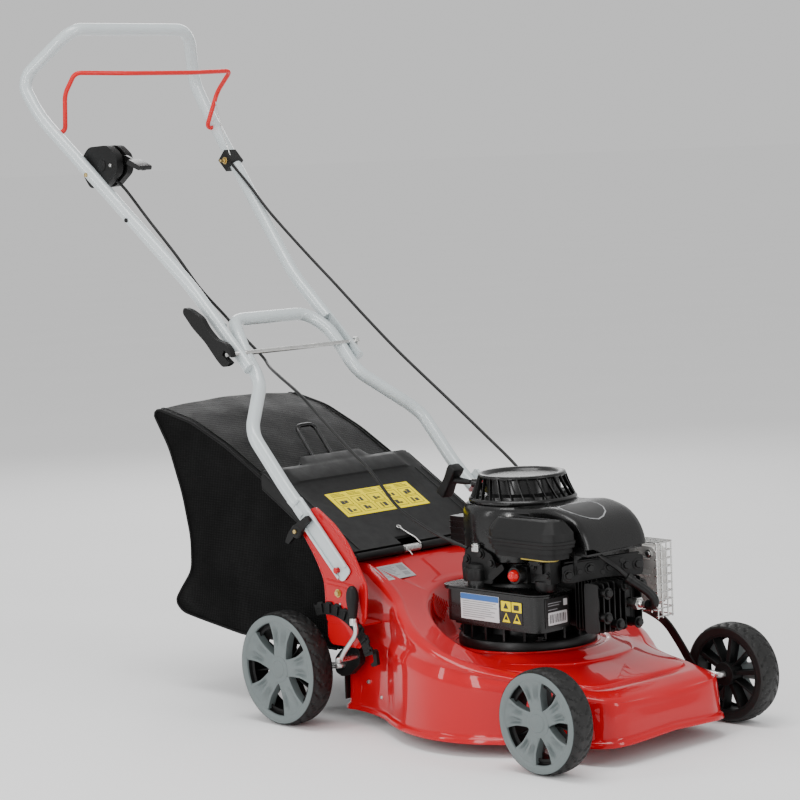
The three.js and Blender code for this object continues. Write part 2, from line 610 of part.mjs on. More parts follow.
// A counter-clockwise outline with every side moved in by the same amount.
function inset(outline, by) {
  const count = outline.length;
  const side = (i) => {
    const [[x0, y0], [x1, y1]] = [outline[(i + count) % count], outline[(i + 1) % count]];
    const length = Math.hypot(x1 - x0, y1 - y0);
    return [(x1 - x0) / length, (y1 - y0) / length];
  };
  return outline.map(([x, y], i) => {
    const [[ax, ay], [bx, by2]] = [side(i - 1), side(i)];
    const [mx, my] = [-(ay + by2), ax + bx];
    const scale = by / (1 + ax * bx + ay * by2);
    return [x + mx * scale, y + my * scale];
  });
}
add("air_filter_base", plateXY(inset(FILTER_OUTLINE, 4), 286, 297), COLOURS.plastic);
add("air_filter_cover", cut(
  join(plateXY(FILTER_OUTLINE, 297.3, 322), plateXY(inset(FILTER_OUTLINE, 9), 320, 344)),
  plateXY(inset(FILTER_OUTLINE, 3), 290, 319), plateXY(inset(FILTER_OUTLINE, 12), 300, 341),
), COLOURS.plastic);

// Exhaust on the engine's left front, inside its wire guard.
add("muffler", join(
  plateXZ([
    [-98, 196], [-37, 196], [-30, 203], [-30, 276], [-37, 284], [-98, 284], [-105, 276], [-105, 203],
  ], 70, 97),
  bar(v3(-82, 34.6, 225), v3(-82, 72, 225), 9, 10),
), COLOURS.zinc);
function mufflerGuard() {
  const wires = [];
  for (const z of [181, 217, 253, 289])
    wires.push(tube([v3(-62, 66, z), v3(-23, 66, z), v3(-23, 102, z), v3(-108, 102, z)], 1.6, 5));
  for (const [x, y] of [[-60, 66], [-23, 67], [-23, 101], [-66, 102], [-106, 102]])
    wires.push(bar(v3(x, y, 177), v3(x, y, 292), 1.5, 5));
  return join(...wires);
}
add("muffler_guard", mufflerGuard(), COLOURS.zinc);

add("brake_bracket", join(
  plateXZ([[-282, 238], [-212, 238], [-212, 262], [-240, 306], [-262, 306], [-282, 280]], 95, 98),
  block([-262, 85, 238], [-222, 96, 241]),
), COLOURS.zinc);

// Starter grip; the rope pulls it up and back towards the operator.
function starterHandle() {
  const grip = new THREE.BoxGeometry(19, 20, 56).rotateY(degToRad(33)).translate(-346, -40, 377);
  return join(grip, bar(v3(-346, -40, 379), v3(-308, -26, 374), 4.5, 10));
}
add("starter_handle", starterHandle(), COLOURS.plastic);

// ---- rear flap on its hinge rod ----
// A point of the flap: `along` it from the hinge, and `up` from its underside.
const onFlap = (along, up) => [
  HINGE.x - along * Math.cos(FLAP_SLOPE) + up * Math.sin(FLAP_SLOPE),
  HINGE.z + along * Math.sin(FLAP_SLOPE) + up * Math.cos(FLAP_SLOPE),
];
const SPRING = { from: -47, to: -12 };
function rearFlap() {
  const strip = (a0, a1, u0, u1, y0, y1) =>
    plateXZ([onFlap(a0, u0), onFlap(a1, u0), onFlap(a1, u1), onFlap(a0, u1)], y0, y1);
  const plate = strip(3, FLAP_LENGTH, 3, 7, -FLAP_HALF, FLAP_HALF);
  const step = strip(193, 236, 6, 11, -128, 128);
  const lip = strip(230, FLAP_LENGTH + 16, 6, 10, -70, 70);
  const skirts = [-1, 1].map((s) => {
    const [y0, y1] = [s * FLAP_HALF, s * (FLAP_HALF - 3)].sort((a, b) => a - b);
    return plateXZ([onFlap(26, 4), onFlap(52, -20), onFlap(226, -20), onFlap(238, 4)], y0, y1);
  });
  const barrels = turnedY([[3.4, -148], [6.5, -148], [6.5, 148], [3.4, 148]], HINGE, 12);
  const window = block(
    [HINGE.x - 16, SPRING.from - 2, HINGE.z - 12],
    [HINGE.x + 12, SPRING.to + 2, HINGE.z + 22],
  );
  const rodWay = bar(v3(HINGE.x, -170, HINGE.z), v3(HINGE.x, 170, HINGE.z), 3.4, 12);
  return cut(join(plate, step, lip, ...skirts, barrels), window, rodWay);
}
add("rear_flap", rearFlap(), COLOURS.plastic);
add("flap_hinge_rod", bar(v3(HINGE.x, -189.5, HINGE.z), v3(HINGE.x, 189.5, HINGE.z), 3, 12), COLOURS.zinc);
add("flap_spring", turnedY([[3.5, SPRING.from], [6.5, SPRING.from], [6.5, SPRING.to], [3.5, SPRING.to]],
  HINGE, 12), COLOURS.zinc);

// ---- grass bag: an open-mouthed fabric bag on a wire frame ----
const BAG_OUTSIDE = [
  [-497, 112], [-734, 112], [-850, 128], [-893, 137], [-908, 155], [-892, 178], [-876, 204],
  [-877, 261], [-887, 334], [-906, 410], [-942, 466], [-930, 474], [-843, 456], [-757, 421],
  [-657, 368], [-497, 275],
];
const BAG_INSIDE = [
  [-480, 115], [-734, 115], [-850, 131], [-889, 140], [-904, 156], [-889, 180], [-873, 205],
  [-874, 261], [-884, 333], [-903, 409], [-936, 463], [-929, 470], [-844, 453], [-758, 418],
  [-658, 365], [-480, 262],
];
const BAG_HALF = 150;
const BAG_HANDLE = [
  v3(-640, -20, 345), v3(-684, -20, 388), v3(-730, -20, 441), v3(-730, 20, 441), v3(-684, 20, 388),
  v3(-640, 20, 345),
];
const handleWire = tube(bent(BAG_HANDLE, 16, 4), 3.5, 8);
add("bag_fabric", cut(
  plateXZ(BAG_OUTSIDE, -BAG_HALF, BAG_HALF),
  plateXZ(BAG_INSIDE, -BAG_HALF + 3, BAG_HALF - 3),
  tube(bent(BAG_HANDLE, 16, 4), 3.5 + GAP, 8),
), COLOURS.fabric);
function bagFrame() {
  const r = 3.5;
  const [low, high, half, front] = [121, 258, 141, -503];
  const topRear = v3(-640, 0, 345);
  return join(
    bar(v3(front, -half, low), v3(front, half, low), r, 8),
    bar(v3(front, -half, high), v3(front, half, high), r, 8),
    ...[-1, 1].flatMap((s) => [
      bar(v3(front, s * half, low - 3), v3(front, s * half, high + 3), r, 8),
      bar(v3(front, s * half, high), v3(topRear.x, s * half, topRear.z), r, 8),
      bar(v3(front, s * half, low), v3(-700, s * half, low + 2), r, 8),
    ]),
    bar(v3(topRear.x, -half - 3, topRear.z), v3(topRear.x, half + 3, topRear.z), r, 8),
    handleWire,
  );
}
add("bag_frame", bagFrame(), COLOURS.gloss);

// ---- handles ----
// Half of each handle, on the left side, from its lower end to the middle of its top.
const LOWER_HALF = [
  v3(-522, 185, 328), v3(-562, 184.5, 361), v3(-638, 185, 443), v3(-655, 174, 460),
  v3(-706, 112, 517), v3(-722, 105, 535), v3(-747, 104, 564), v3(-770, 98, 594),
  v3(-806, 80, 620), v3(-806, 0, 620),
];
const UPPER_HALF = [
  v3(-721, 118.5, 545), v3(-757, 118, 579), v3(-870, 116, 680), v3(-911, 125, 719),
  v3(-1117, 173, 919), v3(-1172, 186, 972), v3(-1207, 189, 1022), v3(-1206, 183, 1046),
  v3(-1160, 142, 1102), v3(-1149, 118, 1120), v3(-1149, 0, 1121),
];
const wholeHandle = (half) => [...half.slice(0, -1), ...mirroredY(half.slice(0, -1), -1).reverse()];
const acrossTie = (r) => bar(v3(TIE.x, -180, TIE.z), v3(TIE.x, 180, TIE.z), r, 12);

// The lower handle's ends are pressed into flat channels that lie in the brackets.
function lowerHandle() {
  const hoop = tube(bent(wholeHandle(LOWER_HALF), 30, 3), TUBE_RADIUS, 10);
  const channel = plateXZ([
    [-545, 338], [-524, 359], [-419, 254], [-419, 246], [-431, 234], [-439, 234], [-512, 306],
  ], BRACKET_Y + GAP, BRACKET_Y + 8);
  const clearOfLock = bar(v3(LOCK.x, 180, LOCK.z), v3(LOCK.x, 210, LOCK.z), 4.5, 12);
  const { x, z } = HANDLE_PIVOT;
  const pivot = bar(v3(x, -230, z), v3(x, 230, z), 4.4, 12);
  const end = cut(channel, clearOfLock);
  return cut(join(hoop, end, flipped(end)), pivot, acrossTie(4.3));
}
add("lower_handle", lowerHandle(), COLOURS.handleGrey);
add("tie_rod", bar(v3(TIE.x, CAM_Y - 3, TIE.z), v3(TIE.x, 138, TIE.z), 4, 10), COLOURS.zinc);

// The upper handle's ends are open on the inside, where they lie against the lower handle.
function upperHandle() {
  const hoop = tube(bent(wholeHandle(UPPER_HALF), 30, 3), TUBE_RADIUS, 10);
  const open = 116.8;
  const away = new THREE.BoxGeometry(120, 2 * open, 60).rotateY(degToRad(43)).translate(-746, 0, 568);
  const bailHoles = bar(v3(BAIL_PIVOT.x, -230, BAIL_PIVOT.z), v3(BAIL_PIVOT.x, 230, BAIL_PIVOT.z), 4.6, 10);
  return cut(hoop, away, acrossTie(4.3), bailHoles);
}
add("upper_handle", upperHandle(), COLOURS.handleGrey);

// Quick-release lever, forked round the tie rod's right-hand end, that it swings out about.
function camLever() {
  const arm = plateXZ([
    [-724, 566], [-731, 555], [-748, 549], [-762, 560], [-792, 590], [-822, 612], [-846, 636],
    [-843, 646], [-826, 642], [-800, 630], [-786, 612], [-764, 594], [-742, 590], [-729, 580],
  ], CAM_Y - 5.7, CAM_Y + 5.7);
  const fork = new THREE.BoxGeometry(30, 22, 10).translate(8, 3, 0).rotateY(CAM_TILT)
    .translate(TIE.x, CAM_Y, TIE.z);
  return cut(arm, fork);
}
add("cam_lever", camLever(), COLOURS.plastic);

// Bail: pulled back against the grip to release the blade brake.
const BAIL_HALF = [
  v3(BAIL_PIVOT.x, 192, BAIL_PIVOT.z), v3(BAIL_PIVOT.x, 156, BAIL_PIVOT.z), v3(-1120, 168, 1008),
  v3(-1092, 165, 1043), v3(-1066, 70, 1040), v3(-1064, 0, 1039),
];
add("bail", tube(bent(wholeHandle(BAIL_HALF), 10, 3), 4, 8), COLOURS.bailRed);

// Brake cable: sheathed from the anchor on the left tube to the engine's brake bracket.
const BRAKE_UPPER = [
  v3(-1068, 150, 878), v3(-1050, 147, 866), v3(-1010, 143, 836), v3(-959, 141, 791),
  v3(-875, 139, 727), v3(-790, 140, 663),
];
const BRAKE_LOWER = [
  v3(-789.6, 140, 662.6), v3(-727, 150, 606), v3(-660, 160, 549), v3(-556, 167, 475),
  v3(-478, 168, 422), v3(-402, 165, 372), v3(-346, 145, 335), v3(-300, 116, 306), v3(-262, 102.5, 287),
];
const THROTTLE_UPPER = [
  v3(-1028, -137, 857), v3(-1012, -131, 842), v3(-965, -122, 790), v3(-912, -109, 730),
  v3(-869, -95, 673), v3(-835, -70, 624),
];
const THROTTLE_LOWER = [
  v3(-834.8, -69.7, 623.6), v3(-800, -60, 588), v3(-755, -62, 559), v3(-716, -82, 546),
  v3(-655, -116, 537), v3(-560, -155, 514), v3(-500, -167, 482), v3(-440, -167, 438),
  v3(-392, -162, 401), v3(-352, -150, 351), v3(-318, -132, 322), v3(-285, -116, 302), v3(-248, -106, 289),
];
const INNER_WIRE = [v3(-1066, 151, 880), v3(-1096, 158, 918), v3(-1112, 157, 980)];
add("brake_cable_upper", join(cable(BRAKE_UPPER, 2.5), tube(INNER_WIRE, 1.2, 6)), COLOURS.rubber);
add("brake_cable_lower", cable(BRAKE_LOWER, 2.5), COLOURS.rubber);
add("throttle_cable_upper", cable(THROTTLE_UPPER, 2.5), COLOURS.rubber);
add("throttle_cable_lower", cable(THROTTLE_LOWER, 2.5), COLOURS.rubber);

// Clamp block that anchors the brake cable's sheath to the left tube.
function cableAnchor() {
  const body = new THREE.BoxGeometry(34, 30, 30).rotateY(degToRad(44)).translate(-1083, 161, 884);
  const tubeWay = tube(bent(UPPER_HALF, 30, 3), TUBE_RADIUS + GAP, 10);
  const cableWay = join(cable(BRAKE_UPPER, 3.2), tube(INNER_WIRE, 3.2, 8));
  return cut(body, tubeWay, cableWay);
}
add("cable_anchor", cableAnchor(), COLOURS.plastic);

// Throttle control: a housing clamped on the right tube, with its lever pointing forward.
const THROTTLE_PIVOT = { x: -1046, z: 884 };
function throttleHousing() {
  const body = plateXZ([
    [-1100, 868], [-1082, 846], [-1040, 848], [-1004, 872], [-1004, 900], [-1030, 918],
    [-1082, 916], [-1100, 900],
  ], -153, -118);
  const tubeWay = mirroredTube(UPPER_HALF, TUBE_RADIUS + GAP);
  const slot = block([-1064, -139, 864], [-990, -131, 930]);
  const cableWay = cable(THROTTLE_UPPER, 3.2);
  return cut(body, tubeWay, slot, cableWay);
}
function mirroredTube(half, radius) {
  return tube(bent(mirroredY(half, -1), 30, 3), radius, 10);
}
add("throttle_housing", throttleHousing(), COLOURS.plastic);
add("throttle_lever", plateXZ([
  [-1054, 876], [-1040, 874], [-1000, 886], [-952, 872], [-948, 880], [-1000, 900], [-1040, 902],
  [-1054, 896],
], -138, -132), COLOURS.gloss);

// The origin is the middle of the mower's bottom.
const bounds = new THREE.Box3().setFromObject(mower);
mower.position.set(-(bounds.min.x + bounds.max.x) / 2, 0, -bounds.min.z);
const part = new THREE.Group();
part.add(mower);

export default part;
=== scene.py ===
import math

import bmesh
import bpy
from mathutils import Matrix, Vector
from mathutils.geometry import tessellate_polygon


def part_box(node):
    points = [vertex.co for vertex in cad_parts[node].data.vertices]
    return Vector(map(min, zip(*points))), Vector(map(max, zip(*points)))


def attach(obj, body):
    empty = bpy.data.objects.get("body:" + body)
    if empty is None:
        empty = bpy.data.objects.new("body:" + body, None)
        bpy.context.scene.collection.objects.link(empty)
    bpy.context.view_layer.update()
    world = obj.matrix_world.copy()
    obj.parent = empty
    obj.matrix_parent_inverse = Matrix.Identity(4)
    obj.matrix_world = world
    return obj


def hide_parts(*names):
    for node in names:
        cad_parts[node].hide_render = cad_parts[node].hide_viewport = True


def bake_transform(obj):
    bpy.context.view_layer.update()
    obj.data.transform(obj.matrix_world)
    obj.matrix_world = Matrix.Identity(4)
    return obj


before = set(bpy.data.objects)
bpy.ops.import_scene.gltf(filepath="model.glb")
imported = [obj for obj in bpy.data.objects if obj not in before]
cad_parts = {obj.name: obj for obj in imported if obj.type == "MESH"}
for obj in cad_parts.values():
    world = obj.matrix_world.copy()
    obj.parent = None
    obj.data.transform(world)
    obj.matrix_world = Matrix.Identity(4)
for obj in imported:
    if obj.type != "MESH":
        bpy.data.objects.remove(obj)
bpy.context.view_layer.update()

# Millimetres along the mower from the front wheels' spindle become metres in the part's own frame.
CRANK_X = -230.0
_low, _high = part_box("crankshaft")
FRONT_X = (_low.x + _high.x) / 2 - CRANK_X / 1000


def at(x, y, z):
    return Vector((FRONT_X + x / 1000, y / 1000, z / 1000))


# ---------------------------------------------------------------- camera, light and floor
LENS_MM, SENSOR_MM = 114.3, 36.0
CAMERA_AT = (2447.92, -2754.29, 878.54)
CAMERA_TURN, CAMERA_DOWN, CAMERA_ROLL = 46.894, 5.477, -2.437  # degrees
FLOOR_HALF = 400  # metres


def make_camera():
    data = bpy.data.cameras.new("camera")
    data.lens, data.sensor_width = LENS_MM, SENSOR_MM
    data.clip_start, data.clip_end = 0.05, 1200
    camera = bpy.data.objects.new("camera", data)
    bpy.context.scene.collection.objects.link(camera)
    turn, down, roll = (math.radians(a) for a in (CAMERA_TURN, CAMERA_DOWN, CAMERA_ROLL))
    ahead = Vector((-math.sin(turn) * math.cos(down), math.cos(turn) * math.cos(down), -math.sin(down)))
    level = Vector((math.cos(turn), math.sin(turn), 0))
    above = level.cross(ahead)
    right = level * math.cos(roll) + above * math.sin(roll)
    up = above * math.cos(roll) - level * math.sin(roll)
    axes = Matrix((right, up, -ahead)).transposed().to_4x4()
    camera.matrix_world = Matrix.Translation(at(*CAMERA_AT)) @ axes
    bpy.context.scene.camera = camera


def softbox(name, place, aim, size, power):
    data = bpy.data.lights.new(name, "AREA")
    data.shape, data.size, data.size_y, data.energy = "RECTANGLE", size[0], size[1], power
    lamp = bpy.data.objects.new(name, data)
    bpy.context.scene.collection.objects.link(lamp)
    lamp.location = place
    lamp.rotation_mode = "QUATERNION"
    lamp.rotation_quaternion = (Vector(aim) - Vector(place)).to_track_quat("-Z", "Y")


def make_studio():
    softbox("soft_top", (0.3, -0.5, 3.0), (0.1, 0, 0.3), (2.0, 0.8), 38)
    softbox("soft_right", (1.0, -2.9, 1.3), (0, 0, 0.3), (0.5, 2.2), 36)
    softbox("soft_right_rear", (-1.2, -2.7, 1.5), (-0.2, 0, 0.3), (0.3, 2.0), 16)
    softbox("soft_front", (3.3, 0.4, 1.4), (0.2, 0, 0.3), (0.5, 2.2), 22)
    softbox("soft_rear", (-2.3, 1.9, 1.9), (-0.2, 0, 0.6), (1.6, 1.6), 26)
    world = bpy.data.worlds.new("studio")
    world.use_nodes = True
    background = world.node_tree.nodes["Background"]
    background.inputs["Color"].default_value = (1, 1, 1, 1)
    background.inputs["Strength"].default_value = 0.74
    bpy.context.scene.world = world


# ---------------------------------------------------------------- materials
class Look:
    """A procedural surface: mottled colour, uneven roughness and a fine bump, all in object space."""

    def __init__(self, name, slot, **values):
        self.slot = slot
        self.material = bpy.data.materials.new(name)
        self.material.use_nodes = True
        self.tree = self.material.node_tree
        self.shader = self.tree.nodes["Principled BSDF"]
        self.place = self.node("ShaderNodeTexCoord").outputs["Object"]
        for key, value in values.items():
            self.shader.inputs[key.replace("_", " ")].default_value = value

    def node(self, kind, **settings):
        made = self.tree.nodes.new(kind)
        for key, value in settings.items():
            setattr(made, key, value)
        return made

    def join(self, source, target):
        self.tree.links.new(source, target)

    def noise(self, scale, detail=4.0, rough=0.6, stretch=None):
        made = self.node("ShaderNodeTexNoise")
        made.inputs["Scale"].default_value = scale
        made.inputs["Detail"].default_value = detail
        made.inputs["Roughness"].default_value = rough
        source = self.place
        if stretch:
            mapping = self.node("ShaderNodeMapping")
            mapping.inputs["Scale"].default_value = stretch
            self.join(self.place, mapping.inputs["Vector"])
            source = mapping.outputs["Vector"]
        self.join(source, made.inputs["Vector"])
        return made.outputs["Fac"]

    def ramp(self, source, low, high, start=0.3, end=0.7):
        made = self.node("ShaderNodeValToRGB")
        made.color_ramp.elements[0].position, made.color_ramp.elements[0].color = start, (*low, 1)
        made.color_ramp.elements[1].position, made.color_ramp.elements[1].color = end, (*high, 1)
        self.join(source, made.inputs["Fac"])
        return made.outputs["Color"]

    def between(self, source, low, high):
        made = self.node("ShaderNodeMapRange")
        made.inputs["From Min"].default_value, made.inputs["From Max"].default_value = 0.3, 0.7
        made.inputs["To Min"].default_value, made.inputs["To Max"].default_value = low, high
        self.join(source, made.inputs["Value"])
        return made.outputs["Result"]

    def colour(self, low, high, scale=9.0, detail=5.0, stretch=None):
        self.join(
            self.ramp(self.noise(scale, detail, stretch=stretch), low, high), self.shader.inputs["Base Color"]
        )
        return self

    def rough(self, low, high, scale=22.0, stretch=None):
        self.join(
            self.between(self.noise(scale, 5, stretch=stretch), low, high), self.shader.inputs["Roughness"]
        )
        return self

    def bump(self, scale, strength, depth=0.0004, source=None, stretch=None, detail=3.0):
        made = self.node("ShaderNodeBump")
        made.inputs["Strength"].default_value, made.inputs["Distance"].default_value = strength, depth
        self.join(source or self.noise(scale, detail, stretch=stretch), made.inputs["Height"])
        last = self.shader.inputs["Normal"]
        if last.links:
            self.join(last.links[0].from_socket, made.inputs["Normal"])
        self.join(made.outputs["Normal"], last)
        return self

    def weave(self, pitch, strength):
        """Two sets of fine threads crossing at right angles, seen on any face of the bag."""
        split = self.node("ShaderNodeSeparateXYZ")
        self.join(self.place, split.inputs["Vector"])
        waves = []
        for axis in "XYZ":
            scaled = self.node("ShaderNodeMath", operation="MULTIPLY")
            scaled.inputs[1].default_value = 2 * math.pi / pitch
            self.join(split.outputs[axis], scaled.inputs[0])
            wave = self.node("ShaderNodeMath", operation="SINE")
            self.join(scaled.outputs[0], wave.inputs[0])
            waves.append(wave.outputs[0])
        total = waves[0]
        for wave in waves[1:]:
            adder = self.node("ShaderNodeMath", operation="ADD")
            self.join(total, adder.inputs[0])
            self.join(wave, adder.inputs[1])
            total = adder.outputs[0]
        return self.bump(0, strength, 0.0006, source=total)


def make_looks():
    return {
        "red": Look(
            "deck_red_paint", "deck_red", Coat_Weight=1.0, Coat_Roughness=0.02, Coat_IOR=1.36,
            Specular_IOR_Level=0.1
        )
        .colour((0.47, 0.0, 0.005), (0.53, 0.0, 0.007), 3).rough(0.3, 0.36, 24).bump(70, 0.05, 0.0002),
        "grey": Look("handle_grey_paint", "handle_grey", Coat_Weight=0.9, Coat_Roughness=0.06)
        .colour((0.52, 0.575, 0.585), (0.57, 0.62, 0.63), 4).rough(0.30, 0.38, 20).bump(60, 0.05, 0.0002),
        "zinc": Look("zinc_plate", "zinc", Metallic=1.0)
        .colour((0.50, 0.50, 0.49), (0.72, 0.72, 0.70), 40).rough(0.24, 0.42, 90).bump(300, 0.1, 0.0002),
        "steel": Look("blade_steel", "blade_steel", Metallic=1.0)
        .colour(
            (0.30, 0.30, 0.30), (0.46, 0.46, 0.45), 20, stretch=(1, 12, 1)
        ).rough(0.3, 0.5, 80).bump(260, 0.15, 0.0002),
        "chrome": Look("guard_chrome", "chrome_guard", Metallic=1.0)
        .colour((0.62, 0.62, 0.61), (0.76, 0.76, 0.74), 60).rough(0.12, 0.24, 90).bump(500, 0.06, 0.0001),
        "muffler": Look("muffler_steel", "zinc", Metallic=0.4)
        .colour((0.62, 0.61, 0.59), (0.80, 0.79, 0.76), 26).rough(0.20, 0.36, 50).bump(120, 0.12, 0.0003),
        "brass": Look("brass_plate", "zinc", Metallic=1.0)
        .colour((0.50, 0.36, 0.13), (0.66, 0.50, 0.22), 60).rough(0.25, 0.4, 90).bump(400, 0.1, 0.0001),
        "cast": Look(
            "engine_black_paint", "engine_alloy", Coat_Weight=0.1, Coat_Roughness=0.25, Specular_IOR_Level=0.3
        )
        .colour((0.002, 0.002, 0.002), (0.005, 0.005, 0.005), 12).rough(0.34, 0.5, 40).bump(240, 0.25, 0.0003),
        "gloss": Look(
            "gloss_black", "gloss_black", Coat_Weight=0.22, Coat_Roughness=0.1, Specular_IOR_Level=0.35
        )
        .colour((0.002, 0.002, 0.002), (0.004, 0.004, 0.004), 6).rough(0.22, 0.34, 40).bump(360, 0.08, 0.0002),
        "satin": Look("satin_black", "gloss_black", Specular_IOR_Level=0.3)
        .colour((0.002, 0.002, 0.002), (0.005, 0.005, 0.005), 8).rough(0.38, 0.5, 40).bump(700, 0.18, 0.0002),
        "plastic": Look("black_plastic", "black_plastic", Specular_IOR_Level=0.28)
        .colour(
            (0.0025, 0.0025, 0.0025), (0.006, 0.006, 0.006), 10
        ).rough(0.44, 0.58, 50).bump(900, 0.25, 0.0002),
        "tyre": Look("tyre", "wheel_plastic", Specular_IOR_Level=0.4)
        .colour((0.004, 0.004, 0.004), (0.009, 0.009, 0.0085), 26).rough(0.42, 0.66, 30).bump(340, 0.3, 0.0003),
        "cover": Look("wheel_cover_grey", "cover_grey")
        .colour((0.125, 0.15, 0.15), (0.15, 0.175, 0.175), 7).rough(0.44, 0.56, 40).bump(800, 0.12, 0.0002),
        "rubber": Look("cable_black", "cable_black", Specular_IOR_Level=0.35)
        .colour((0.002, 0.002, 0.002), (0.005, 0.005, 0.005), 30).rough(0.34, 0.46, 60).bump(500, 0.1, 0.0002),
        "bail": Look("bail_red", "bail_red", Coat_Weight=0.3, Coat_Roughness=0.15, Specular_IOR_Level=0.3)
        .colour((0.62, 0.004, 0.005), (0.68, 0.006, 0.006), 20).rough(0.3, 0.42, 60).bump(400, 0.08, 0.0002),
        "primer": Look("primer_red", "primer_red", Coat_Weight=0.4, Coat_Roughness=0.1, Specular_IOR_Level=0.3)
        .colour((0.55, 0.003, 0.006), (0.62, 0.004, 0.007), 30).rough(0.22, 0.3, 60).bump(300, 0.05, 0.0001),
        "mesh": Look("bag_mesh", "bag_black", Specular_IOR_Level=0.07)
        .colour((0.0018, 0.0018, 0.0018), (0.0045, 0.0045, 0.0045), 14).rough(0.6, 0.76, 20).weave(0.0042, 0.45)
        .bump(26, 0.3, 0.004),
        "cloth": Look("bag_cloth", "bag_black", Specular_IOR_Level=0.16)
        .colour((0.003, 0.003, 0.003), (0.007, 0.007, 0.007), 10).rough(0.5, 0.66, 20).weave(0.0024, 0.3)
        .bump(18, 0.3, 0.004),
        "yellow": Look("label_yellow", "black_plastic", Specular_IOR_Level=0.08)
        .colour((0.92, 0.74, 0.0), (0.96, 0.78, 0.0), 20).rough(0.35, 0.45, 40).bump(300, 0.04, 0.0001),
        "white": Look("label_white", "black_plastic", Coat_Weight=0.2)
        .colour((0.66, 0.67, 0.68), (0.72, 0.73, 0.73), 20).rough(0.35, 0.45, 40).bump(300, 0.04, 0.0001),
        "blue": Look("label_blue", "black_plastic", Coat_Weight=0.2)
        .colour((0.02, 0.12, 0.42), (0.03, 0.15, 0.46), 20).rough(0.35, 0.45, 40).bump(300, 0.04, 0.0001),
        "ink": Look("label_ink", "black_plastic")
        .colour((0.012, 0.012, 0.012), (0.02, 0.02, 0.02), 20).rough(0.4, 0.5, 40).bump(300, 0.04, 0.0001),
        "print": Look("label_grey_print", "black_plastic")
        .colour((0.22, 0.22, 0.23), (0.28, 0.28, 0.29), 20).rough(0.4, 0.5, 40).bump(300, 0.04, 0.0001),
        "gasket": Look("gasket_yellow", "black_plastic")
        .colour((0.36, 0.27, 0.04), (0.45, 0.34, 0.06), 30).rough(0.5, 0.6, 40).bump(300, 0.1, 0.0002),
        "silver": Look("badge_silver", "zinc", Metallic=0.9)
        .colour((0.52, 0.53, 0.54), (0.60, 0.61, 0.62), 30).rough(0.3, 0.4, 60).bump(300, 0.05, 0.0001),
        "floor": Look("floor", "black_plastic", Specular_IOR_Level=0.0)
        .colour((0.965, 0.965, 0.965), (0.985, 0.985, 0.985), 2).rough(0.86, 0.92, 6).bump(60, 0.03, 0.0003),
    }


# ---------------------------------------------------------------- shapes, as (points, faces) in millimetres
def rounded(points, radius, steps=6):
    """A polyline of vectors with each corner turned into a bend."""
    line = [Vector(points[0])]
    for before, corner, after in zip(points, points[1:], points[2:]):
        corner = Vector(corner)
        back, ahead = Vector(before) - corner, Vector(after) - corner
        reach = min(radius, back.length * 0.48, ahead.length * 0.48)
        start, end = corner + back.normalized() * reach, corner + ahead.normalized() * reach
        for i in range(steps + 1):
            t = i / steps
            line.append(start.lerp(corner, t).lerp(corner.lerp(end, t), t))
    return line + [Vector(points[-1])]


def smooth(points, step=12.0):
    """A Catmull-Rom curve through the points, sampled about every step."""
    pts = [Vector(p) for p in points]
    pts = [pts[0] * 2 - pts[1], *pts, pts[-1] * 2 - pts[-2]]
    line = []
    for a, b, c, d in zip(pts, pts[1:], pts[2:], pts[3:]):
        count = max(2, int((c - b).length / step))
        for i in range(count):
            t = i / count
            line.append(
                0.5 * (
                    2 * b + (c - a) * t + (2 * a - 5 * b + 4 * c - d) * t**2 + (3 * b - a - 3 * c + d) * t**3
                )
            )
    return line + [pts[-2]]


def skin(rings, closed=False, caps=True):
    """Faces over a row of rings that each have the same number of points."""
    size = len(rings[0])
    points = [Vector(p) for ring in rings for p in ring]
    faces = []
    for i in range(len(rings) if closed else len(rings) - 1):
        a, b = i * size, (i + 1) % len(rings) * size
        for k in range(size):
            n = (k + 1) % size
            faces.append((a + k, a + n, b + n, b + k))
    if caps and not closed:
        faces.append(tuple(reversed(range(size))))
        faces.append(tuple(range(len(points) - size, len(points))))
    return points, faces


def sections(line, closed=False):
    """For each point of a line: its place and two directions across it, turning as little as possible."""
    line = [Vector(p) for p in line]
    count = len(line)
    tangents = []
    for i in range(count):
        before = line[i - 1] if i or closed else line[0]
        after = line[(i + 1) % count] if i < count - 1 or closed else line[-1]
        tangents.append((after - before).normalized())
    side = tangents[0].orthogonal().normalized()
    made = []
    for place, tangent in zip(line, tangents):
        side = (side - tangent * side.dot(tangent)).normalized()
        made.append((place, side, tangent.cross(side)))
    return made


def tube(points, radius, sides=16, bend=0.0, steps=6, closed=False, shape=None):
    line = rounded(points, bend, steps) if bend else points
    rings = []
    for i, (place, u, v) in enumerate(sections(line, closed)):
        r = radius(i / (len(line) - 1)) if callable(radius) else radius
        outline = shape or [
            (math.cos(k / sides * math.tau), math.sin(k / sides * math.tau)) for k in range(sides)
        ]
        rings.append([place + u * (a * r) + v * (b * r) for a, b in outline])
    return skin(rings, closed)


def strap(points, width, thick, across, bend=0.0):
    """A flat bar along a line, with its width kept square to the direction across."""
    line = rounded(points, bend) if bend else [Vector(p) for p in points]
    rings = []
    for i, place in enumerate(line):
        tangent = (line[min(i + 1, len(line) - 1)] - line[max(i - 1, 0)]).normalized()
        thin = Vector(across)
        thin = (thin - tangent * thin.dot(tangent)).normalized()
        wide = tangent.cross(thin)
        rings.append(
            [
                place + wide * (a * width / 2) + thin * (b * thick / 2)
                for a, b in ((-1, -1), (1, -1), (1, 1), (-1, 1))
            ]
        )
    return skin(rings)


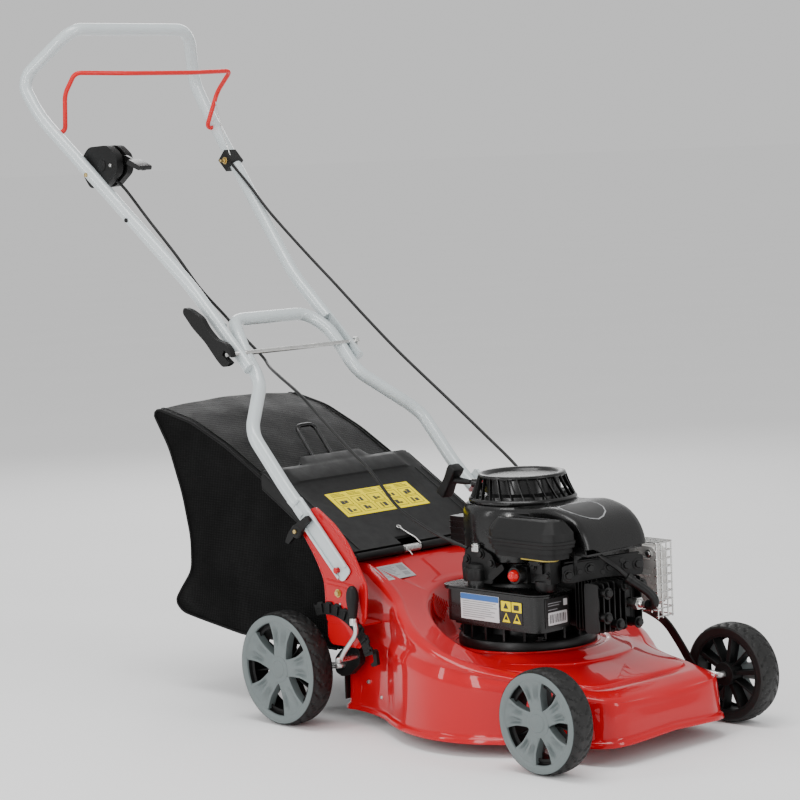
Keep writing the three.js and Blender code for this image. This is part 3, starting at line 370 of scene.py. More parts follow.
def lathe(profile, centre, axis="Z", sides=48):
    """Points [radius, place along the axis] turned about a line through centre. Starts and ends on the
    axis, or is closed."""
    rings, x0 = [], Vector(centre)
    for k in range(sides):
        c, s = math.cos(k / sides * math.tau), math.sin(k / sides * math.tau)
        ring = []
        for r, h in profile:
            offset = {"Z": (r * c, r * s, h), "Y": (r * c, h, r * s), "X": (h, r * c, r * s)}[axis]
            ring.append(x0 + Vector(offset))
        rings.append(ring)
    count = len(profile)
    points = [p for ring in rings for p in ring]
    faces = []
    last = count if profile[0][0] > 0 else count - 1
    for k in range(sides):
        a, b = k * count, (k + 1) % sides * count
        faces += [(a + i, a + (i + 1) % count, b + (i + 1) % count, b + i) for i in range(last)]
    return points, faces


def plate(outline, low, high, plane="XZ", holes=()):
    """A flat sheet between two values of the third axis, with holes given as further outlines."""
    loops = [list(outline), *[list(hole) for hole in holes]]
    flat = [Vector((a, b, 0)) for loop in loops for a, b in loop]
    triangles = tessellate_polygon([[Vector((a, b, 0)) for a, b in loop] for loop in loops])
    place = {
        "XZ": lambda p, h: Vector((p.x, h, p.y)), "XY": lambda p, h: Vector((p.x, p.y, h)), "YZ": lambda p,
        h: Vector((h, p.x, p.y))
    }[plane]
    count = len(flat)
    points = [place(p, low) for p in flat] + [place(p, high) for p in flat]
    faces = [tuple(t) for t in triangles] + [tuple(count + i for i in reversed(t)) for t in triangles]
    start = 0
    for loop in loops:
        n = len(loop)
        faces += [
            (start + i, start + (i + 1) % n, count + start + (i + 1) % n, count + start + i) for i in range(n)
        ]
        start += n
    return points, faces


def ring_of(radius, centre=(0, 0), sides=20, start=0.0):
    return [
        (
            centre[0] + radius * math.cos(start + k / sides * math.tau),
            centre[1] + radius * math.sin(start + k / sides * math.tau)
        )
        for k in range(sides)
    ]


def arc(radius, first, last, centre=(0, 0), steps=16):
    angles = [math.radians(first + (last - first) * i / steps) for i in range(steps + 1)]
    return [(centre[0] + radius * math.cos(a), centre[1] + radius * math.sin(a)) for a in angles]


def brick(low, high):
    (x0, y0, z0), (x1, y1, z1) = low, high
    return plate([(x0, y0), (x1, y0), (x1, y1), (x0, y1)], z0, z1, "XY")


def rod(a, b, radius, sides=16):
    return tube([Vector(a), Vector(b)], radius, sides)


def bolt(place, direction, across=10.0, height=6.0, washer=True):
    """A hexagon head on a washer, standing on a surface."""
    p, d = Vector(place), Vector(direction).normalized()
    parts = [
        tube([p, p + d * height * 0.82, p + d * height], lambda t: across * (0.577 if t < 0.9 else 0.48), 6)
    ]
    if washer:
        parts.append(rod(p, p + d * 1.4, across * 0.82, 18))
    return merged(*parts)


def merged(*shapes):
    points, faces = [], []
    for pts, fcs in shapes:
        base = len(points)
        points += pts
        faces += [tuple(base + i for i in face) for face in fcs]
    return points, faces


def turned(shape, degrees, axis, centre):
    turn = Matrix.Rotation(math.radians(degrees), 3, axis)
    c = Vector(centre)
    return [turn @ (p - c) + c for p in shape[0]], shape[1]


def moved(shape, dx=0.0, dy=0.0, dz=0.0):
    return [p + Vector((dx, dy, dz)) for p in shape[0]], shape[1]


def mirrored(shape):
    return [Vector((p.x, -p.y, p.z)) for p in shape[0]], [tuple(reversed(f)) for f in shape[1]]


LOOKS = make_looks()


def show(name, body, *painted, nodes=(), edge=0.0, sharp=32, segments=2):
    """One shown piece: painted is (look, shape, look, shape, ...). nodes are the CAD nodes it stands for."""
    mesh = bpy.data.meshes.new(name)
    shapes = list(zip(painted[::2], painted[1::2]))
    points, faces, which, used = [], [], [], []
    for look, shape in shapes:
        if look not in used:
            used.append(look)
        base = len(points)
        points += shape[0]
        faces += [tuple(base + i for i in face) for face in shape[1]]
        which += [used.index(look)] * len(shape[1])
    mesh.from_pydata([at(*p) for p in points], [], faces)
    for look in used:
        mesh.materials.append(LOOKS[look].material)
    mesh.polygons.foreach_set("material_index", which)
    work = bmesh.new()
    work.from_mesh(mesh)
    bmesh.ops.remove_doubles(work, verts=work.verts, dist=2e-6)
    bmesh.ops.recalc_face_normals(work, faces=work.faces)
    work.to_mesh(mesh)
    work.free()
    mesh.shade_smooth()
    mesh.set_sharp_from_angle(angle=math.radians(sharp))
    piece = bpy.data.objects.new(name, mesh)
    bpy.context.scene.collection.objects.link(piece)
    if edge:
        bevel = piece.modifiers.new("edges", "BEVEL")
        bevel.width, bevel.segments = edge / 1000, segments
        bevel.limit_method, bevel.angle_limit = "ANGLE", math.radians(max(sharp, 30))
        bevel.harden_normals = False
    if body:
        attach(piece, body)
    if nodes:
        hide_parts(*nodes)
    return piece


# ---------------------------------------------------------------- deck
HINGE = (-452.0, 262.0)
LIP = [
    (60, 0), (60, 70), (57, 105), (44, 129), (6, 143), (-44, 150), (-86, 160), (-120, 182), (-168, 208),
    (-230, 218), (-292, 208), (-345, 186), (-384, 165), (-424, 152), (-464, 146), (-492, 144), (-492, 96),
    (-492, 48), (-492, 0),
]
PAN_Z = 135.0
DECK_SHEET = 2.2  # thickness
PROFILE_POINTS = 96  # along the deck's section


def top_height(x):
    rise = min(1.0, max(0.0, (60 - x) / 510))
    return 100 + 152 * rise**1.9


def deck_profile(x, y):
    """The deck's outer surface under one point of its lip: a few [radius from the crankshaft, height]."""
    reach, angle = math.hypot(x - CRANK_X, y), math.atan2(y, x - CRANK_X)
    turn = abs(angle) / math.pi
    inset = 22 + 20 * math.cos(angle) ** 2
    ridge = top_height(CRANK_X + (reach - inset) * math.cos(angle))
    rim = max(top_height(CRANK_X + 152 * math.cos(angle)), PAN_Z - 7)
    shoulder = 82 + 72 * turn
    lip = 33 - 13 * min(1.0, turn * 3.2)
    front = max(0.0, 1 - turn * 3.0)
    near, far = 152.0, reach - inset
    span = far - near
    steps = [(0.0, rim)]
    if front > 0.02:
        drop = rim - ridge
        steps += [
            (span * 0.10, rim - 0.06 * drop - 1.0 * front), (span * 0.14, rim - 0.10 * drop - 4.5 * front),
            (span * 0.50, rim - 0.42 * drop - 4.0 * front), (span * 0.80, rim - 0.72 * drop - 3.0 * front),
            (span * 0.84, rim - 0.80 * drop - 6.0 * front)
        ]
    flat = [(near + d, h) for d, h in steps] + [(far, ridge)]
    return [
        (30, PAN_Z), (107, PAN_Z), (112, PAN_Z - 0.6), (120, PAN_Z - 0.6), (126, PAN_Z + 0.8),
        (138, PAN_Z + (rim - PAN_Z) * 0.45), (146, PAN_Z + (rim - PAN_Z) * 0.82), *flat,
        (reach - inset * 0.55, ridge - 7), (reach - 15, min(shoulder + 13, ridge - 13)),
        (reach - 10.5, shoulder - 1), (reach - 8.6, shoulder - 12), (reach - 6.4, lip + 30),
        (reach - 5.6, lip + 16), (reach - 4.6, lip + 9.5), (reach - 1.0, lip + 6.5), (reach + 0.2, lip + 3),
        (reach + 0.6, lip),
    ]


def even(profile, count):
    """The profile as a smooth curve with the same number of points for every angle."""
    line = []
    pts = [Vector(p) for p in profile]
    total = len(pts) - 1
    for i in range(count):
        f = i / (count - 1) * total
        k = min(int(f), total - 1)
        t = f - k
        a, b, c, d = pts[max(k - 1, 0)], pts[k], pts[k + 1], pts[min(k + 2, total)]
        m0, m1 = (c - a) * 0.36, (d - b) * 0.36
        h = t * t * (3 - 2 * t)
        p = b * (1 - h) + c * h + m0 * (t * (1 - t) ** 2) + m1 * (-(t * t) * (1 - t))
        line.append(p)
    return line


def build_deck():
    half = [Vector((x, y, 0)) for x, y in LIP]
    loop = half + [Vector((p.x, -p.y, 0)) for p in reversed(half[1:-1])]
    line = smooth([*loop, loop[0]], 7)[:-1]
    shell = []
    for point in line:
        angle = math.atan2(point.y, point.x - CRANK_X)
        profile = deck_profile(point.x, point.y)
        if len(profile) < 24:
            gap = profile[7:9]
            fill = [tuple(Vector(gap[0]).lerp(Vector(gap[1]), i / 6)) for i in range(1, 6)]
            profile = [*profile[:8], *fill, *profile[8:]]
        upper = even(profile, PROFILE_POINTS)
        lower = []
        for i, p in enumerate(upper):
            along = (upper[min(i + 1, PROFILE_POINTS - 1)] - upper[max(i - 1, 0)]).normalized()
            lower.append(Vector((p.x + along.y * DECK_SHEET, p.y - along.x * DECK_SHEET)))
        section = [*upper, *reversed(lower)]
        shell.append([Vector((CRANK_X + p.x * math.cos(angle), p.x * math.sin(angle), p.y)) for p in section])
    return skin(shell, closed=True)


def cut_with(piece, *cutters):
    """Takes boxes or bars out of a piece, for good."""
    for shape in cutters:
        mesh = bpy.data.meshes.new("cutter")
        mesh.from_pydata([at(*p) for p in shape[0]], [], shape[1])
        tool = bpy.data.objects.new("cutter", mesh)
        bpy.context.scene.collection.objects.link(tool)
        work = bmesh.new()
        work.from_mesh(mesh)
        bmesh.ops.recalc_face_normals(work, faces=work.faces)
        work.to_mesh(mesh)
        work.free()
        modifier = piece.modifiers.new("cut", "BOOLEAN")
        modifier.object, modifier.operation, modifier.solver = tool, "DIFFERENCE", "EXACT"
        bpy.context.view_layer.update()
        result = bpy.data.meshes.new_from_object(piece.evaluated_get(bpy.context.evaluated_depsgraph_get()))
        piece.modifiers.remove(modifier)
        piece.data = result
        bpy.data.objects.remove(tool)


def make_deck():
    deck = show("deck", "chassis", "red", build_deck(), nodes=["deck_shell"], sharp=46)
    cut_with(
        deck, brick((-520, -136, -10), (-478, 136, 240)),
        rod((-40, -240, 82), (-40, 240, 82), 5.8), rod((-470, -240, 95), (-470, 240, 95), 5.8),
    )
    # The engine stands over a round hole, with a mounting ring pressed round it.
    show(
        "deck_mount_ring", "chassis", "red",
        lathe([(109, PAN_Z), (118, PAN_Z), (119, PAN_Z - 0.4), (109, PAN_Z - 0.4)], (CRANK_X, 0, 0), sides=96),
        sharp=40
    )
    # Louvred intake pressed into the dish behind the engine.
    ribs = []
    for i in range(11):
        angle = math.radians(196 + i * 2.6)
        low = Vector((CRANK_X + 133 * math.cos(angle), 133 * math.sin(angle), 160))
        high = Vector((CRANK_X + 149 * math.cos(angle), 149 * math.sin(angle), 204))
        width = 1.0 - abs(i - 5) / 6.5
        middle = low.lerp(high, 0.5)
        ribs.append(tube([middle.lerp(low, width), middle, middle.lerp(high, width)], 1.3, 8))
    show("deck_louvres", "chassis", "red", merged(*ribs), sharp=60)
    heads = []
    for x, z, y in ((-437, 68, 146.5), (-401, 49, 152.5)):
        for s in (-1, 1):
            heads.append(
                lathe(
                    [
                        (0, s * (y + 2.4)), (2.4, s * (y + 2.0)), (3.6, s * y), (3.6, s * (y - 3)),
                        (0, s * (y - 3))
                    ],
                    (x, 0, z), "Y", 20
                )
            )
    show("deck_screws", "chassis", "zinc", merged(*heads), sharp=40)
    # Rating plate near the flap, without any lettering: plain bars stand for lines of print.
    make_rating_plate()


def on_deck(x, y, lift=0.5):
    """A point on the deck's top between the dish and the flap."""
    return Vector((x, y, top_height(x) + lift))


def make_rating_plate():
    def patch(x0, x1, y0, y1, lift):
        nx, ny = 8, 4
        rings = [
            [on_deck(x0 + (x1 - x0) * i / nx, y0 + (y1 - y0) * j / ny, lift) for j in range(ny + 1)] + [
                on_deck(x0 + (x1 - x0) * i / nx, y0 + (y1 - y0) * (ny - j) / ny, lift - 0.9)
                for j in range(ny + 1)
            ]
            for i in range(nx + 1)
        ]
        return skin(rings)

    plate_shape = patch(-436, -404, -128, -66, 0.6)
    lines = [
        patch(x, x + 1.1, -124, -124 + w, 0.75)
        for x, w in (
            (-432, 30), (-429, 34), (-426, 28), (-423, 33), (-420, 30), (-417, 26), (-413, 32), (-410, 24)
        )
    ]
    boxes = [patch(-432, -420, -84, -70, 0.7), patch(-417, -409, -84, -72, 0.7)]
    show("rating_plate", "chassis", "silver", plate_shape, "print", merged(*lines, *boxes), sharp=40)


# ---------------------------------------------------------------- handle brackets and their locks
BRACKET = [
    (-480, 165), (-400, 165), (-389, 178), (-384, 221), (-388, 237), (-408, 271), (-426, 296), (-452, 320),
    (-493, 344), (-506, 340), (-534, 312), (-534, 300), (-522, 296), (-500, 268), (-482, 236), (-478, 214),
]
BRACKET_Y = 190.0
FRONT_EDGE = [(-390, 180), (-386, 221), (-390, 237), (-410, 271), (-428, 295), (-454, 318), (-492, 341)]
LOCK = (-525.0, 305.0)


def soft_outline(points, radius=6, steps=4):
    closed = [Vector((x, z, 0)) for x, z in points]
    ring = [*closed[-1:], *closed, closed[0]]
    line = rounded(ring, radius, steps)[1:-1]
    return [(p.x, p.y) for p in line]


def make_bracket(side, s):
    body = "chassis"
    y1, y0 = BRACKET_Y, BRACKET_Y - 3
    shape = plate(soft_outline(BRACKET, 9), y0, y1, "XZ", [ring_of(3.2, HINGE), ring_of(3.4, LOCK)])
    edge = [Vector((x, y1 - 1.1, z)) for x, z in FRONT_EDGE]
    inner = [Vector((x - 7, y1 - 0.7, z + 3)) for x, z in FRONT_EDGE[1:-1]]
    third = [Vector((x - 14, y1 - 0.8, z + 6)) for x, z in FRONT_EDGE[2:-1]]
    trims = merged(
        tube(smooth(edge, 5), 2.4, 12), tube(smooth(inner, 5), 1.5, 10), tube(smooth(third, 5), 1.3, 10),
        tube([(-476, y1 - 0.5, 233), (-414, y1 - 0.5, 228)], 1.6, 10),
        tube([(-477, y1 - 0.5, 226), (-416, y1 - 0.5, 221)], 1.3, 10)
    )
    rear = tube(
        smooth(
            [
                Vector((x, y1 - 0.6, z))
                for x, z in ((-479, 176), (-479, 214), (-483, 236), (-501, 268), (-523, 297))
            ],
            6
        ),
        1.5, 10
    )
    foot = brick((-478, 146, 165), (-402, y0 + 1, 167.6))
    brace = plate([(-470, 167), (-412, 167), (-416, 176), (-466, 176)], y0 - 5, y0)
    red = merged(shape, trims, rear, foot, brace)
    panel = plate(
        soft_outline([(-478, 167), (-478, 141), (-470, 131), (-404, 131), (-398, 167)], 5), y0 + 0.2, y1 - 0.6
    )
    show(f"deck_side_panel_{side}", body, "red", panel if s > 0 else mirrored(panel), sharp=40, edge=0.5)
    pin = merged(
        rod((-443, y0, 250), (-443, y1 + 10.6, 250), 4.0),
        lathe(
            [(0, y1 + 10.9), (4.2, y1 + 10.5), (5, y1 + 9.4), (5, y1 + 8.5), (0, y1 + 8.5)], (-443, 0, 250),
            "Y", 24
        )
    )
    brass = bolt((-449, y1, 213), (0, 1, 0), 8, 5)
    rivet = lathe(
        [(0, y1 + 2.2), (2.6, y1 + 1.6), (3.4, y1), (3.4, y1 - 3), (0, y1 - 3)], (-472, 0, 262), "Y", 18
    )
    spot = lathe([(0, y1 + 1), (2.4, y1 + 0.8), (2.6, y1), (0, y1)], (-446, 0, 196), "Y", 18)
    flip = (lambda shp: shp) if s > 0 else mirrored
    show(
        f"bracket_{side}", body, "red", flip(merged(red, pin)), nodes=[f"handle_bracket_{side}"], sharp=40,
        edge=0.5
    )
    show(f"bracket_fixings_{side}", body, "brass", flip(brass), "zinc", flip(merged(rivet, spot)), sharp=35)
    out = BRACKET_Y + 8.4
    wing = merged(
        lathe(
            [(0, out - 0.2), (11, out - 0.2), (11.5, out + 1), (11, out + 6), (9, out + 8), (0, out + 8)],
            (LOCK[0], 0, LOCK[1]), "Y", 28
        ),
        plate(
            soft_outline([(-531, 296), (-545, 283), (-553, 286), (-546, 299), (-531, 316)], 3), out + 0.5,
            out + 6.4
        ),
        plate(
            soft_outline([(-531, 314), (-516, 322), (-500, 332), (-492, 324), (-508, 312), (-518, 298)], 3),
            out + 0.5, out + 6.4
        ),
    )
    screw = merged(
        rod((LOCK[0], BRACKET_Y - 5, LOCK[1]), (LOCK[0], out + 9.6, LOCK[1]), 2.9),
        bolt((LOCK[0], out + 8, LOCK[1]), (0, 1, 0), 6.4, 3, False)
    )
    show(
        f"lock_{side}", f"lock_{side}", "plastic", flip(wing), "brass", flip(screw),
        nodes=[f"bracket_lock_{side}"], sharp=38, edge=0.8
    )


# ---------------------------------------------------------------- axles, height lever, link
def make_axle(name, body, spindle, torsion, wheel_face, width, corner_y, pin_z):
    arm = [
        Vector((spindle[0], wheel_face - 13, spindle[1])),
        Vector((spindle[0], wheel_face - width - 9.5, spindle[1])), Vector((torsion[0], corner_y, torsion[1]))
    ]
    line = [*[Vector((p.x, -p.y, p.z)) for p in arm], *reversed(arm)]
    bar = tube(line, 5.0, 20, bend=8)
    zs = sorted((torsion[1], pin_z))
    lug = plate(
        soft_outline(
            [
                (torsion[0] - 7, zs[0] - 5), (torsion[0] + 7, zs[0] - 5), (torsion[0] + 7, zs[1] + 5),
                (torsion[0] - 7, zs[1] + 5)
            ],
            5
        ),
        155, 159
    )
    pin = merged(
        rod((torsion[0], 157, pin_z), (torsion[0], 178, pin_z), 2.5),
        lathe([(2.7, 175.4), (5.6, 175.4), (5.6, 176.4), (2.7, 176.4)], (torsion[0], 0, pin_z), "Y", 20)
    )
    show(name, body, "zinc", merged(bar, lug, pin), nodes=[name], sharp=40)
    for s in (-1, 1):
        bush = lathe(
            [
                (5.3, s * (corner_y - 20)), (9, s * (corner_y - 20)), (9, s * (corner_y - 13)),
                (5.3, s * (corner_y - 13))
            ],
            (torsion[0], 0, torsion[1]), "Y", 24
        )
        show(f"{name}_bush_{'left' if s > 0 else 'right'}", "chassis", "plastic", bush, sharp=40, edge=0.5)


LEVER_Y = -203.0


def make_height_lever():
    rod_line = [
        Vector((-437, -163, 112)), Vector((-437, LEVER_Y, 112)), Vector((-427, LEVER_Y, 126)),
        Vector((-396, LEVER_Y, 158)), Vector((-403, LEVER_Y, 184))
    ]
    clamp = plate(
        soft_outline(
            [
                (-488, 82), (-488, 104), (-474, 118), (-446, 132), (-430, 122), (-430, 102), (-456, 80),
                (-474, 76)
            ],
            4
        ),
        -168.5, -157, "XZ", [ring_of(5.3, (-470, 95))]
    )
    collar = lathe(
        [(0, LEVER_Y - 7.2), (3, LEVER_Y - 7.2), (4.8, LEVER_Y - 5), (4.8, LEVER_Y - 2), (0, LEVER_Y - 2)],
        (-437, 0, 112), "Y", 20
    )
    lever = merged(
        tube(rod_line, 4.0, 18, bend=10), collar,
        lathe([(0, 170), (6, 170), (6.6, 175), (5, 182), (0, 182)], (-403, LEVER_Y, 0))
    )
    show(
        "height_lever_rod", "rear_axle_body", "zinc", lever, "plastic", clamp, nodes=["height_lever"], sharp=40,
        edge=0.6
    )
    knob = lathe(
        [
            (0, 180.6), (5.4, 180.6), (6.4, 186), (8.2, 196), (9.6, 207), (9.9, 213), (9.0, 221), (6.6, 227),
            (3.4, 230.2), (0, 231)
        ],
        (-403, LEVER_Y, 0), sides=40
    )
    show("height_knob_grip", "rear_axle_body", "plastic", knob, nodes=["height_knob"], sharp=50)
    centre, low, high, notches = (-470, 95), 18.0, 110.0, 8
    outline = arc(83, low, high, centre, 24)
    steps = notches * 8
    for i in range(steps, -1, -1):
        depth = 0 if i % 8 < 5 else 3.4
        a = math.radians(low + (high - low) * i / steps)
        outline.append((centre[0] + (103 - depth) * math.cos(a), centre[1] + (103 - depth) * math.sin(a)))
    band = plate(outline, -BRACKET_Y - 3.2, -BRACKET_Y - 0.3)
    ribs = merged(
        *[
            tube(
                [
                    Vector(
                        (
                            centre[0] + r * math.cos(math.radians(a)), -BRACKET_Y - 2.6,
                            centre[1] + r * math.sin(math.radians(a))
                        )
                    )
                    for a in range(19, 110, 3)
                ],
                1.0, 8
            )
            for r in (84.6, 94)
        ],
        *[
            turned(
                brick(
                    (centre[0] + 86, -BRACKET_Y - 6, centre[1] - 1.6),
                    (centre[0] + 100, -BRACKET_Y - 2, centre[1] + 1.6)
                ),
                -a, "Y", (centre[0], 0, centre[1])
            )
            for a in range(22, 110, 11)
        ]
    )
    show("quadrant", "chassis", "plastic", merged(band, ribs), nodes=["height_quadrant"], sharp=35, edge=0.4)
    hook = plate(
        soft_outline(
            [(-384, 132), (-378, 128), (-376, 108), (-388, 103), (-392, 107), (-384, 112), (-387, 126)], 2
        ),
        -BRACKET_Y + 6, -BRACKET_Y + 12
    )
    show("lever_bearing", "chassis", "plastic", moved(hook, 0, 2, 0), sharp=35, edge=0.8)


def make_link():
    route = [
        Vector(p)
        for p in (
            (-477, 173, 115), (-432, 174, 128), (-388, 184, 144), (-345, 203, 155), (-270, 207, 159),
            (-190, 204, 160), (-140, 188, 156), (-102, 175, 145), (-77, 173, 120), (-56, 173, 92),
            (-45, 173, 76), (-36, 173, 64)
        )
    ]
    line = smooth(route, 6)
    show(
        "height_link", "link", "satin", strap(line, 14, 3.4, (0, 1, 0.0)), nodes=["link_bar"], sharp=40,
        edge=0.7
    )


# ---------------------------------------------------------------- wheels
SPOKES = 5
FRONT_WHEEL = (76, 43, 229, 0.0)  # radius, width, outer face, place along the mower
REAR_WHEEL = (89.3, 43, 236.6, -550.0)


def tyre(R, w):
    """A tyre whose tread is cut by slanted grooves on both sides of a raised centre line."""
    profile = [
        (R - 16, 3), (R - 12, 1.5), (R - 6, 0.6), (R - 3.2, 2.2), (R - 2.2, 4.6), (R - 1.0, 7), (R - 0.3, 12),
        (R, w * 0.38), (R, w * 0.46), (R - 0.2, w * 0.5), (R, w * 0.54), (R, w * 0.62), (R - 0.3, w - 12),
        (R - 1.0, w - 9), (R - 2.2, w - 6), (R - 3.2, w - 3), (R - 3.4, w - 1.2), (R - 3.6, w - 5),
        (R - 16, w - 5)
    ]
    sides = 240
    rings = []
    for k in range(sides):
        a = k / sides * math.tau
        ring = []
        for r, y in profile:
            depth = 0.0
            if r > R - 3.1 and abs(y - w / 2) > 1.2:
                reach = abs(y - w / 2) / (w / 2)
                phase = (a * 26 / math.tau + reach**1.4 * 1.25) % 1
                if min(phase, 1 - phase) < 0.11 and 0.14 < reach < 0.95:
                    depth = 2.0
            ring.append(Vector(((r - depth) * math.cos(a), y, (r - depth) * math.sin(a))))
        rings.append(ring)
    return skin(rings, closed=True)


def spoke_cover(R, w):
    """The grey cover: a ring, and five spokes that widen outwards, each with a leaf-shaped dent on both
    sides."""
    ring = lathe(
        [
            (R - 16, w - 4.7), (R - 15.4, w - 2.2), (R - 13.2, w - 0.4), (R - 11, w), (R - 6, w),
            (R - 4.2, w - 0.8), (R - 3.7, w - 2.2), (R - 3.9, w - 4.7)
        ],
        (0, 0, 0), "Y", 96
    )
    hub = lathe(
        [
            (0, w - 11), (17, w - 11), (17.5, w - 9), (21, w - 5.6), (20.4, w - 4.2), (13.6, w - 3.6),
            (13, w - 2.9), (12, w - 2.6), (0, w - 2.2)
        ],
        (0, 0, 0), "Y", 64
    )
    parts = []
    inner, outer = 13.0, R - 14.5
    for i in range(SPOKES):
        angle = i / SPOKES * 360 + 90
        rings, rows = [], 15
        for j in range(rows + 1):
            t = j / rows
            r = inner + (outer - inner) * t
            half = (
                11.8 + 8.4 * t + 9.4 * max(0.0, t - 0.5) ** 1.5 * 2.83 + 2.4 * max(0.0, 0.22 - t) / 0.22
            ) * (R / 89.3)
            top = w - 5.2 + 3.6 * t**0.8
            dent = 5.2 * math.exp(-(((t - 0.62) / 0.24) ** 4))
            row = []
            for q in (-1, -0.94, -0.8, -0.62, -0.46, -0.3, -0.12, 0, 0.12, 0.3, 0.46, 0.62, 0.8, 0.94, 1):
                hollow = dent * math.exp(-(((abs(q) - 0.5) / 0.24) ** 4))
                edge = 1.3 * max(0, abs(q) - 0.86) / 0.14
                row.append(Vector((q * half, top - hollow - edge, r)))
            row += [Vector((half * 0.96, top - 15, r)), Vector((-half * 0.96, top - 15, r))]
            rings.append(row)
        parts.append(turned(skin(rings), -angle + 90, "Y", (0, 0, 0)))
    return merged(ring, hub, *parts)


def wheel_disc(R, w):
    rim = lathe(
        [
            (R - 15.8, w - 5.4), (R - 15.8, 3.2), (R - 20, 3.2), (R - 20, w - 9), (R - 24, w - 9.4),
            (R - 24, w - 10.8), (R - 17, w - 11)
        ],
        (0, 0, 0), "Y", 64
    )
    hub = lathe([(5.3, -2), (18, -2), (18, w - 11.2), (5.3, w - 11.2)], (0, 0, 0), "Y", 40)
    webs = [turned(brick((-3.4, 5, 14), (3.4, w - 13, R - 17)), 72 * i, "Y", (0, 0, 0)) for i in range(SPOKES)]
    thin = [
        turned(brick((-1.2, 5, 14), (1.2, w - 18, R - 17)), 72 * i + 36, "Y", (0, 0, 0)) for i in range(SPOKES)
    ]
    return merged(rim, hub, *webs, *thin)


def make_wheel(end, side, s, radius, width, face, x):
    def place(shape):
        turned_shape = shape if s > 0 else turned(shape, 180, "Z", (0, 0, 0))
        return moved(turned_shape, x, s * (face - width), radius)

    body = f"wheel_{end}_{side}_body"
    spin = 10 if end == "front" else -8
    show(
        f"tyre_{end}_{side}", body, "tyre", place(tyre(radius, width)), nodes=[f"wheel_{end}_{side}"], sharp=28
    )
    show(
        f"wheel_disc_{end}_{side}", body, "plastic",
        place(turned(wheel_disc(radius, width), spin, "Y", (0, 0, 0))), sharp=35, edge=0.5
    )
    show(
        f"cover_{end}_{side}", body, "cover", place(turned(spoke_cover(radius, width), spin, "Y", (0, 0, 0))),
        nodes=[f"wheel_cover_{end}_{side}"], sharp=34
    )
    nut = lathe([(0, width - 12.6), (6, width - 12.6), (6, width - 11.4), (0, width - 11.4)], (0, 0, 0), "Y", 6)
    show(f"wheel_nut_{end}_{side}", body, "zinc", place(nut), sharp=30)


# ---------------------------------------------------------------- engine
def make_cylinder():
    """Cast sump, the finned barrel lying towards the front, and the oil filler tube."""
    sump = lathe(
        [
            (13, PAN_Z + 0.4), (105.6, PAN_Z + 0.4), (106, 137), (106, 146), (104, 149.5), (96, 152), (86, 157),
            (84, 161), (84, 232), (82, 235), (60, 242), (58, 246), (58, 261), (13, 262)
        ],
        (CRANK_X, 0, 0), sides=96,
    )
    webs = [
        turned(brick((CRANK_X + 82, -1.8, 146), (CRANK_X + 101, 1.8, 176)), a, "Z", (CRANK_X, 0, 0))
        for a in range(5, 360, 18)
    ]
    bands = [
        lathe([(83, z), (86, z), (86, z + 3), (83, z + 3)], (CRANK_X, 0, 0), sides=80) for z in (188, 206, 224)
    ]
    feet = [
        bolt((CRANK_X + 98 * math.cos(math.radians(a)), 98 * math.sin(math.radians(a)), 151), (0, 0, 1), 12, 7)
        for a in (35, 145, 215, 325)
    ]
    barrel = brick((-175, -29, 173), (-58, 27, 255))
    fins = []
    for i in range(6):
        x = -97 + 6.6 * i
        fins.append(plate(soft_outline([(-35, 168), (34, 168), (34, 262), (-35, 262)], 8), x, x + 2.2, "YZ"))
    filler = merged(
        rod((-290, 80, 146), (-290, 80, 222), 11, 30),
        lathe([(10, 216), (13.4, 216), (13.4, 223.6), (10, 223.6)], (-290, 80, 0), "Z", 30)
    )
    show(
        "engine_base", "chassis", "cast", merged(sump, *webs, *bands, barrel, *fins, filler), "cast",
        merged(*feet), nodes=["crankcase"], sharp=35, edge=0.4
    )


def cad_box(name):
    low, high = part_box(name)
    to = lambda v: Vector(((v.x - FRONT_X) * 1000, v.y * 1000, v.z * 1000))
    return to(low), to(high)


def make_head():
    """Cylinder head at the front: upright fins side by side, and long bolts between them."""
    low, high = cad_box("cylinder_head")
    fins = []
    for i in range(9):
        y = low.y + 1 + i * (high.y - low.y - 4.4) / 8
        top, foot = high.z - 1.5 * abs(i - 4) / 4, low.z + 2.5 * abs(i - 4) / 4
        shape = soft_outline(
            [(low.x + 1, foot), (high.x - 0.4, foot), (high.x - 0.4, top), (low.x + 1, top)], 7
        )
        fins.append(cut_out(plate(shape, y, y + 2.4), PLUG_Y, 208, 13, y))
    core = plate(
        soft_outline(
            [
                (low.y + 6, low.z + 6), (high.y - 6, low.z + 6), (high.y - 6, high.z - 6),
                (low.y + 6, high.z - 6)
            ],
            8
        ),
        low.x + 0.4, high.x - 11, "YZ", [ring_of(8, (PLUG_Y, 208))]
    )
    bosses, heads = [], []
    for y, z in ((-48, 233), (-50, 197), (-24, 184), (17, 181), (27, 236), (-10, 240)):
        bosses.append(rod((high.x - 14, y, z), (high.x + 9, y, z), 6.2, 20))
        heads.append(bolt((high.x + 9, y, z), (1, 0, 0), 11, 6))
    show(
        "head_fins", "chassis", "cast", merged(core, *fins, *bosses), "cast", merged(*heads),
        nodes=["cylinder_head"], sharp=35, edge=0.4
    )


PLUG_Y = 20.0


def cut_out(shape, y0, z0, radius, y):
    """The fins stop short of the plug."""
    points, faces = shape
    if abs(y + 1.2 - y0) > radius:
        return shape
    return [Vector((min(p.x, -38), p.y, p.z)) for p in points], faces


VANES = 27


